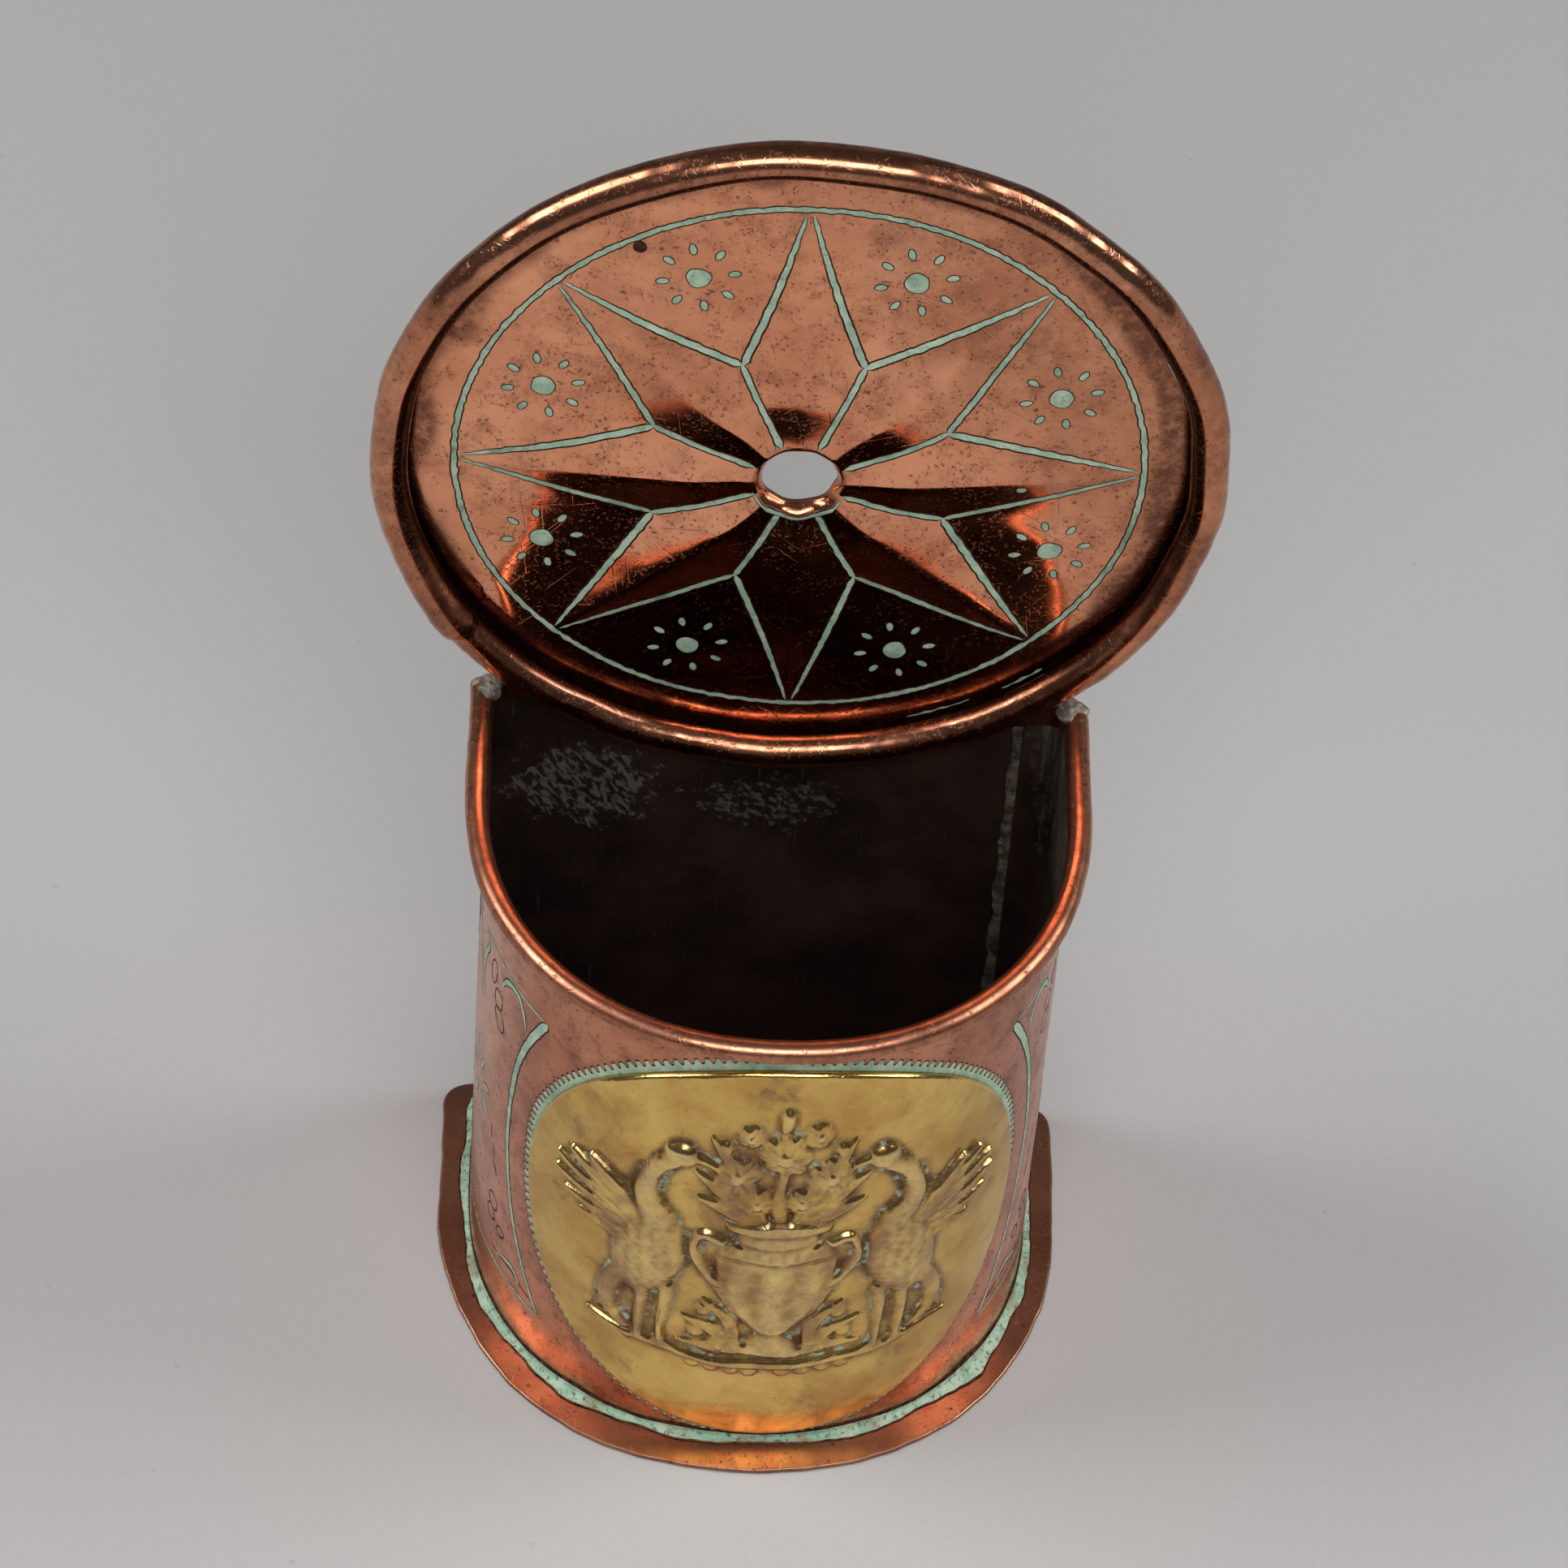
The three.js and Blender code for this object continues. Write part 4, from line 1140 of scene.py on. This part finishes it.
def foliage(relief):
    """The ground line, and leaves and small flowers between the urn's foot and the birds."""
    relief.stroke([(-18.4, -11.6), (-10, -13.3), (0, -14.0), (10, -13.3), (18.4, -11.6)],
                  [0.25, 0.5, 0.6, 0.5, 0.25], 0.5, mirror=False)
    for tip in ((-8.6, -8.2), (-9.0, -11.6), (-6.6, -6.0)):
        relief.stroke([(-3.4, -12.2), (0.62 * tip[0], 0.5 * (tip[1] - 11.4)), tip],
                      [0.4, 0.85, 0.15], 0.5, ridge=0.15)
    for rosette in (((-5.0, -11.4), 1.25, 5, 0.75), ((-7.2, -10.0), 0.95, 5, 0.65),
                    ((-6.4, -7.4), 0.9, 5, 0.6)):
        relief.rosette(*rosette)
    for k in range(4):
        relief.lump((-1.6 - 1.9 * k, -14.9 + 0.12 * k), 0.85, 0.5, 0.2, 0.4)


def blurred(field, times):
    for _ in range(times):
        field = np.pad(field, 1, mode="edge")
        beside = field[:-2, 1:-1] + field[2:, 1:-1] + field[1:-1, :-2] + field[1:-1, 2:]
        field = (beside + 4 * field[1:-1, 1:-1]) / 8
    return field


def medallion_relief():
    """A domed disc of a square grid drawn round, its border stitched to a plain rear."""
    side = int(280 / FINE)
    span = np.linspace(-1, 1, side)
    a, b = np.meshgrid(span, span, indexing="ij")
    wide = np.abs(a) >= np.abs(b)
    with np.errstate(divide="ignore", invalid="ignore"):
        turn = math.pi / 4 * np.where(wide, np.nan_to_num(b / a), 2 - np.nan_to_num(a / b))
    ring = np.where(wide, a, b)
    disc_u, disc_v = ring * np.cos(turn), ring * np.sin(turn)
    u, v = MEDALLION_HALF_WIDTH * disc_u, MEDALLION_HALF_HEIGHT * disc_v
    radius = np.abs(ring)

    flat = join(u, v)
    # a hand-cut relief: its lines are shifted a little from a perfect drawing
    ground = -13.0
    tall = ground + (v - ground) / 1.12
    relief = Relief(u / 0.86 + 0.14 * waves(flat, 7, 81), tall + 0.14 * waves(flat, 7, 82))
    standing_birds(relief)
    urn(relief)
    bouquet(relief)
    foliage(relief)
    height = 0.95 * blurred(relief.height, 2 if FINE == 1 else 1)
    near = blurred(height, int(48 / FINE**2))
    # hollow marks recesses, which the brass darkens with painted shade; proud marks raised parts, which it
    # lightens with painted highlight over their rubbed brightness
    hollow = np.clip((near - height) / 0.2, 0, 1) * smoothstep(near, 0.02, 0.12)
    proud = smoothstep(height - 0.6 * near, 0.15, 0.5)
    around = smoothstep(blurred(near, int(60 / FINE**2)), 0.02, 0.25)
    height = height + uneven(flat, (0.03, 6, 83), (0.012, 1.7, 84))

    edge = np.clip((1 - radius) * MEDALLION_HALF_WIDTH / 0.4, 0, 1)
    lift = MEDALLION_DOME * (1 - radius**2)
    lift = lift + MEDALLION_THICKNESS * (0.35 + 0.65 * np.sqrt(1 - (1 - edge) ** 2))
    front = wall_point(-MEDALLION_SHIFT - u, MEDALLION_GAP + lift + height * edge, MEDALLION_HEIGHT + v)

    # border of the grid, once round, then rings of the rear face that run in to its middle
    index = np.arange(side * side).reshape(side, side)
    border = np.concatenate([index[:-1, 0], index[-1, :-1], index[:0:-1, -1], index[0, :0:-1]])
    shares = np.array([1.0, 0.97, 0.8, 0.5, 0.2, 0.0])
    rear_u, rear_v = (value.ravel()[border] * shares[:, None] for value in (u, v))
    rear_lift = MEDALLION_GAP + MEDALLION_DOME * (1 - shares**2)[:, None] - 0.12 * (shares == 1.0)[:, None]
    rear = wall_point(-MEDALLION_SHIFT - rear_u, rear_lift, MEDALLION_HEIGHT + rear_v)
    points = np.vstack([front.reshape(-1, 3), rear.reshape(-1, 3)])
    numbers = np.vstack([border, side * side + np.arange(len(shares) * len(border)).reshape(len(shares), -1)])
    rear_faces = numbers.ravel()[grid_faces(len(numbers), len(border), wrap_columns=True)]
    faces = np.vstack([grid_faces(side, side), rear_faces[:, ::-1]])
    blank = np.zeros(len(points) - side * side)
    values = {key: np.concatenate([value.ravel(), blank])
              for key, value in (("proud", proud), ("hollow", hollow), ("around", around))}
    make_piece("medallion_relief", points, faces, [BRASS], "brass", ["medallion"], values=values)


# --- foot and solder --------------------------------------------------------------------------------------

def foot_outline():
    bow = bow_curve(FOOT_HALF_WIDTH, FOOT_BOW_DEPTH, int(400 / FINE))[:, :2]
    side = BACK_FACE - FOOT_CORNER

    def bend(sign):
        t = np.linspace(0, 1, 10)[:, None]
        a, b, c = (np.array(p) for p in ((sign * FOOT_HALF_WIDTH, side), (sign * FOOT_HALF_WIDTH, BACK_FACE),
                                         (sign * (FOOT_HALF_WIDTH - FOOT_CORNER), BACK_FACE)))
        return (1 - t) ** 2 * a + 2 * t * (1 - t) * b + t**2 * c

    right = join(FOOT_HALF_WIDTH, np.linspace(side, 0, 16))
    left = join(-FOOT_HALF_WIDTH, np.linspace(0, side, 16))
    back = join(np.linspace(-FOOT_HALF_WIDTH + FOOT_CORNER, FOOT_HALF_WIDTH - FOOT_CORNER, 60), BACK_FACE)
    return np.vstack([right[:-1], bow[:-1], left[:-1], bend(-1), back[1:-1], bend(1)[::-1][:-1]])


def foot_plate():
    """The foot: cut by hand, so its edge wanders, with its corners rubbed round."""
    outline = foot_outline()
    wander = 1 - 0.003 * (1 + waves(outline, 14, 91)) - 0.0012 * (1 + waves(outline, 3.2, 92))
    wander = np.minimum(wander, 1)
    round_off = 0.2
    turn = np.linspace(0, math.pi / 2, 6)
    # rings from the middle of the top over its edge to the middle of the underside, by their distance from
    # the edge; those near the middle lie at shares of the way out instead
    middle = np.inf
    insets = np.concatenate([[middle, middle, 8, 5.2, 4.4, 3.6, 2.9, 2.2, 1.5, 0.9, 0.45],
                             round_off * (1 - np.sin(turn)), round_off * (1 - np.cos(turn)),
                             [0.6, 2, 8, middle]])
    levels = np.concatenate([np.full(11, FOOT_THICKNESS), FOOT_THICKNESS - round_off * (1 - np.cos(turn)),
                             round_off * (1 - np.sin(turn)), np.zeros(4)])
    share = wander[:, None] - insets / np.hypot(*outline.T)[:, None]
    share[:, insets == middle] = (0.05, 0.28, 0.05)
    x, y = outline[:, 0:1] * share, outline[:, 1:2] * share
    dents = 0.035 * waves(join(x, y), 8, 93) - 0.04
    z = levels + np.where((levels > 0.5 * FOOT_THICKNESS) & (insets < 6), dents, 0)
    rows, count = x.shape
    loops = [[row * count for row in range(rows)], [row * count + count - 1 for row in range(rows)][::-1]]
    make_piece("foot_plate", join(x, y, z), grid_faces(rows, count, wrap_rows=True), [SHADED_FOOT_COPPER],
               "copper", ["base_plate"], extra_faces=loops)


def closed_sweep(rows):
    """Points and faces of a row of closed sections, with its two ends closed by their middles."""
    rows = np.asarray(rows)
    count = rows.shape[1]
    points = np.vstack([rows.reshape(-1, 3), rows[0].mean(0), rows[-1].mean(0)])
    middle = len(points) - 2
    k = np.arange(count)
    after = (k + 1) % count
    last = (len(rows) - 1) * count
    near = join(middle, after, k, k)
    far = join(middle + 1, last + k, last + after, last + after)
    return points, np.vstack([grid_faces(len(rows), count, wrap_columns=True), near, far])


def foot_solder():
    """The fillet between wall and foot, laid by hand and thickest at the front right, with dark flanks of
    painted shade.
    """
    stations = np.linspace(SIDE_RIGHT + 0.2, SIDE_LEFT - 0.2, int(620 / FINE))
    turn = np.linspace(0, math.pi / 2, 7)
    rows = []
    for along in stations:
        rough = uneven(along, (0.2, 13, 101), (0.07, 3.6, 102), (0.03, 1.3, 103))
        heavy = 0.45 * math.exp(-(((along + 24) / 12) ** 2)) + 0.2 * math.exp(-(((along - 20) / 8) ** 2))
        ends = min(1, 0.3 + (along - stations[0]) / 2, 0.3 + (stations[-1] - along) / 2)
        out = max(0.3, (0.72 + heavy) * (1 + rough)) * ends
        up = max(0.3, (0.62 + 0.7 * heavy) * (1 + 0.8 * rough)) * ends
        n = out * (1 - 0.82 * np.sin(turn))
        z = FOOT_THICKNESS + up * (1 - 0.82 * np.cos(turn))
        flank, buried = 0.16 * ends, FOOT_THICKNESS - 0.05
        n = np.concatenate([[n[0] + flank, n[0] + 0.8 * flank], n, [0.03, 0.02, -0.15, -0.15]])
        z = np.concatenate([[buried, FOOT_THICKNESS + 0.02], z,
                            [z[-1] + 0.8 * flank, z[-1] + flank, FOOT_THICKNESS + 0.7 * up, buried]])
        rows.append(wall_point(along, n, z))
    points, faces = closed_sweep(rows)
    # the flanks take the painted shade material
    dark = np.zeros(len(faces), int)
    side = np.arange(len(rows[0]))
    on_flank = (side < 2) | (side > len(turn))
    dark[: (len(rows) - 1) * len(side)] = np.tile(on_flank, len(rows) - 1)
    make_piece("foot_solder", points, faces, [SOLDER, PAINTED_EDGE_SHADE], "solder", ["base_solder"], dark)


def seam_run():
    """Solder along the inner edge of the lap seam."""
    face = BACK_FACE - SHEET
    turn = np.linspace(0, math.pi, 9)
    rows = []
    for z in np.linspace(FOOT_TOP + 0.1, FLARE_FOOT, int(120 / FINE)):
        rough = uneven(z, (0.3, 7, 111), (0.18, 1.9, 112))
        width, thick = 0.95 * (1 + 0.35 * rough), 0.42 * (1 + 0.3 * rough)
        x = TAB_EDGE + 0.25 - (width + 0.25) * (1 - np.cos(turn)) / 2
        y = face - thick * np.sin(turn) ** 0.7
        rows.append(join(np.append(x, TAB_EDGE - 0.3), np.append(y, face + 0.1), z))
    make_piece("seam_run", *closed_sweep(rows), [DULL_SOLDER], "solder", ["seam_solder"], welded=False)


def plate_solder():
    """Solder between the backplate's bead and the top of the back wall."""
    reach = math.acos((DISC_HEIGHT - RIM_HEIGHT) / (DISC_RING + DISC_ROLL)) - 0.05
    turn = np.linspace(0.2, 1.2, 7)
    inside = 1.2 * unit(0.7)  # a point within the bead, behind the solder
    ring = np.array([[DISC_RING], [PLATE_BACK - DISC_ROLL]])
    rows = []
    for angle in np.linspace(-reach, reach, int(200 / FINE)):
        size = 0.55 * (1 + uneven(angle, (0.25, 0.3, 121), (0.15, 0.08, 122)))
        size = size * min(1, 0.35 + (reach - abs(angle)) / 0.1)
        radius = DISC_ROLL + 0.02 + size * np.sin((turn - turn[0]) * math.pi)
        r, y = np.vstack([radius[:, None] * unit(turn), inside]).T + ring
        x, z = r * math.sin(angle), DISC_HEIGHT - r * math.cos(angle)
        rows.append(join(x, np.minimum(y, BACK_FACE), z))
    make_piece("plate_solder", *closed_sweep(rows), [DULL_SOLDER], "solder", ["disc_solder"], welded=False)


def corner_lump(name, sign, node, seed):
    """A lump of solder that joins an end of the rim's bead to the back wall and the plate's bead."""
    centre = (sign * (WALL_HALF_WIDTH + RIM_CENTRE - 0.5), BACK_FACE - CORNER_RADIUS - 0.1, RIM_HEIGHT + 0.5)
    latitude = np.linspace(-math.pi / 2, math.pi / 2, 22)[:, None]
    longitude = np.linspace(0, 2 * math.pi, 40, endpoint=False)[None, :]
    ball = join(np.cos(latitude) * np.cos(longitude),
                                        np.cos(latitude) * np.sin(longitude), np.sin(latitude))
    bumpy = 1 + uneven(ball, (0.13, 1.3, seed), (0.06, 0.5, seed + 1))
    points = centre + ball * bumpy[..., None] * (1.35, 1.4, 0.95)
    points[..., 1] = np.minimum(points[..., 1], BACK_FACE)
    make_piece(name, points, grid_faces(22, 40, wrap_columns=True), [CORNER_SOLDER], "solder", [node])


def wires():
    for node in ("rim_wire", "disc_wire"):
        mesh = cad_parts[node].data
        mesh.materials.clear()
        mesh.materials.append(IRON)


# --- studio -----------------------------------------------------------------------------------------------

def floor():
    """A sheet of paper that lies under the pot and bends up behind it."""
    half_width, depth, rise, bend = 1.6, 0.9, 0.9, 0.35
    turn = np.linspace(0, math.pi / 2, 16)
    profile = [(-half_width, 0), (depth, rise)]
    profile[1:1] = [(depth - bend + bend * math.sin(t), bend - bend * math.cos(t)) for t in turn]
    mesh = bpy.data.meshes.new("floor")
    mesh.from_pydata([(x, y, z) for y, z in profile for x in (-half_width, half_width)], [],
                     [(2 * k, 2 * k + 1, 2 * k + 3, 2 * k + 2) for k in range(len(profile) - 1)])
    mesh.materials.append(paper("backdrop_paper"))
    mesh.shade_smooth()
    linked("floor", mesh)


def softbox(name, place, target, size, power):
    lamp = bpy.data.lights.new(name, "AREA")
    lamp.shape = "RECTANGLE"
    lamp.size, lamp.size_y = size
    lamp.energy = power
    made = linked(name, lamp)
    made.location = place
    made.rotation_mode = "QUATERNION"
    made.rotation_quaternion = (Vector(target) - Vector(place)).to_track_quat("-Z", "Y")


def studio():
    world = bpy.data.worlds.new("studio")
    world.use_nodes = True
    background = world.node_tree.nodes["Background"]
    background.inputs["Color"].default_value = (0.50, 0.505, 0.51, 1)
    background.inputs["Strength"].default_value = 0.17
    bpy.context.scene.world = world
    middle = (0, 0, 0.05)
    softbox("key_left", (-0.62, 0.02, 0.55), middle, (0.45, 0.45), 4.3)
    softbox("key_right", (0.66, 0.05, 0.55), middle, (0.45, 0.45), 4.0)
    softbox("fill_front", (0.03, -0.34, 0.42), (0, -0.12, 0), (0.34, 0.2), 1.8)
    bpy.context.scene.view_settings.view_transform = "Standard"


def camera():
    """The camera stands in front, a little to the left, and looks down at 47 degrees."""
    half_width = 26.0  # of the pot at its rim, the unit of the distances below
    elevation, yaw, roll = 0.822390, -0.055478, 0.082465
    distance, right_shift, up_shift = 24.4406, 0.135692, 1.512007
    level = np.array([math.cos(yaw), math.sin(yaw), 0.0])
    ahead = np.array([-math.sin(yaw), math.cos(yaw), 0.0])
    along = math.cos(elevation) * ahead - (0, 0, math.sin(elevation))
    above = np.cross(level, along)
    right = math.cos(roll) * level + math.sin(roll) * above
    up = -math.sin(roll) * level + math.cos(roll) * above
    place = half_width * (-distance * along + right_shift * right + up_shift * up)
    place = (place + (0, DEPTH_SHIFT, 0)) * MM
    lens = bpy.data.cameras.new("camera")
    lens.lens, lens.sensor_width = 158.46, 36.0
    lens.clip_start, lens.clip_end = 0.01, 20.0
    made = linked("camera", lens)
    made.matrix_world = Matrix([[right[k], up[k], -along[k], place[k]] for k in range(3)] + [[0, 0, 0, 1]])
    bpy.context.scene.camera = made


camera()
floor()
studio()
pot_wall()
wall_engraving()
back_plate()
disc_engraving()
medallion_relief()
foot_plate()
foot_solder()
seam_run()
plate_solder()
corner_lump("rim_lump_left", -1, "corner_solder_left", 131)
corner_lump("rim_lump_right", 1, "corner_solder_right", 141)
wires()
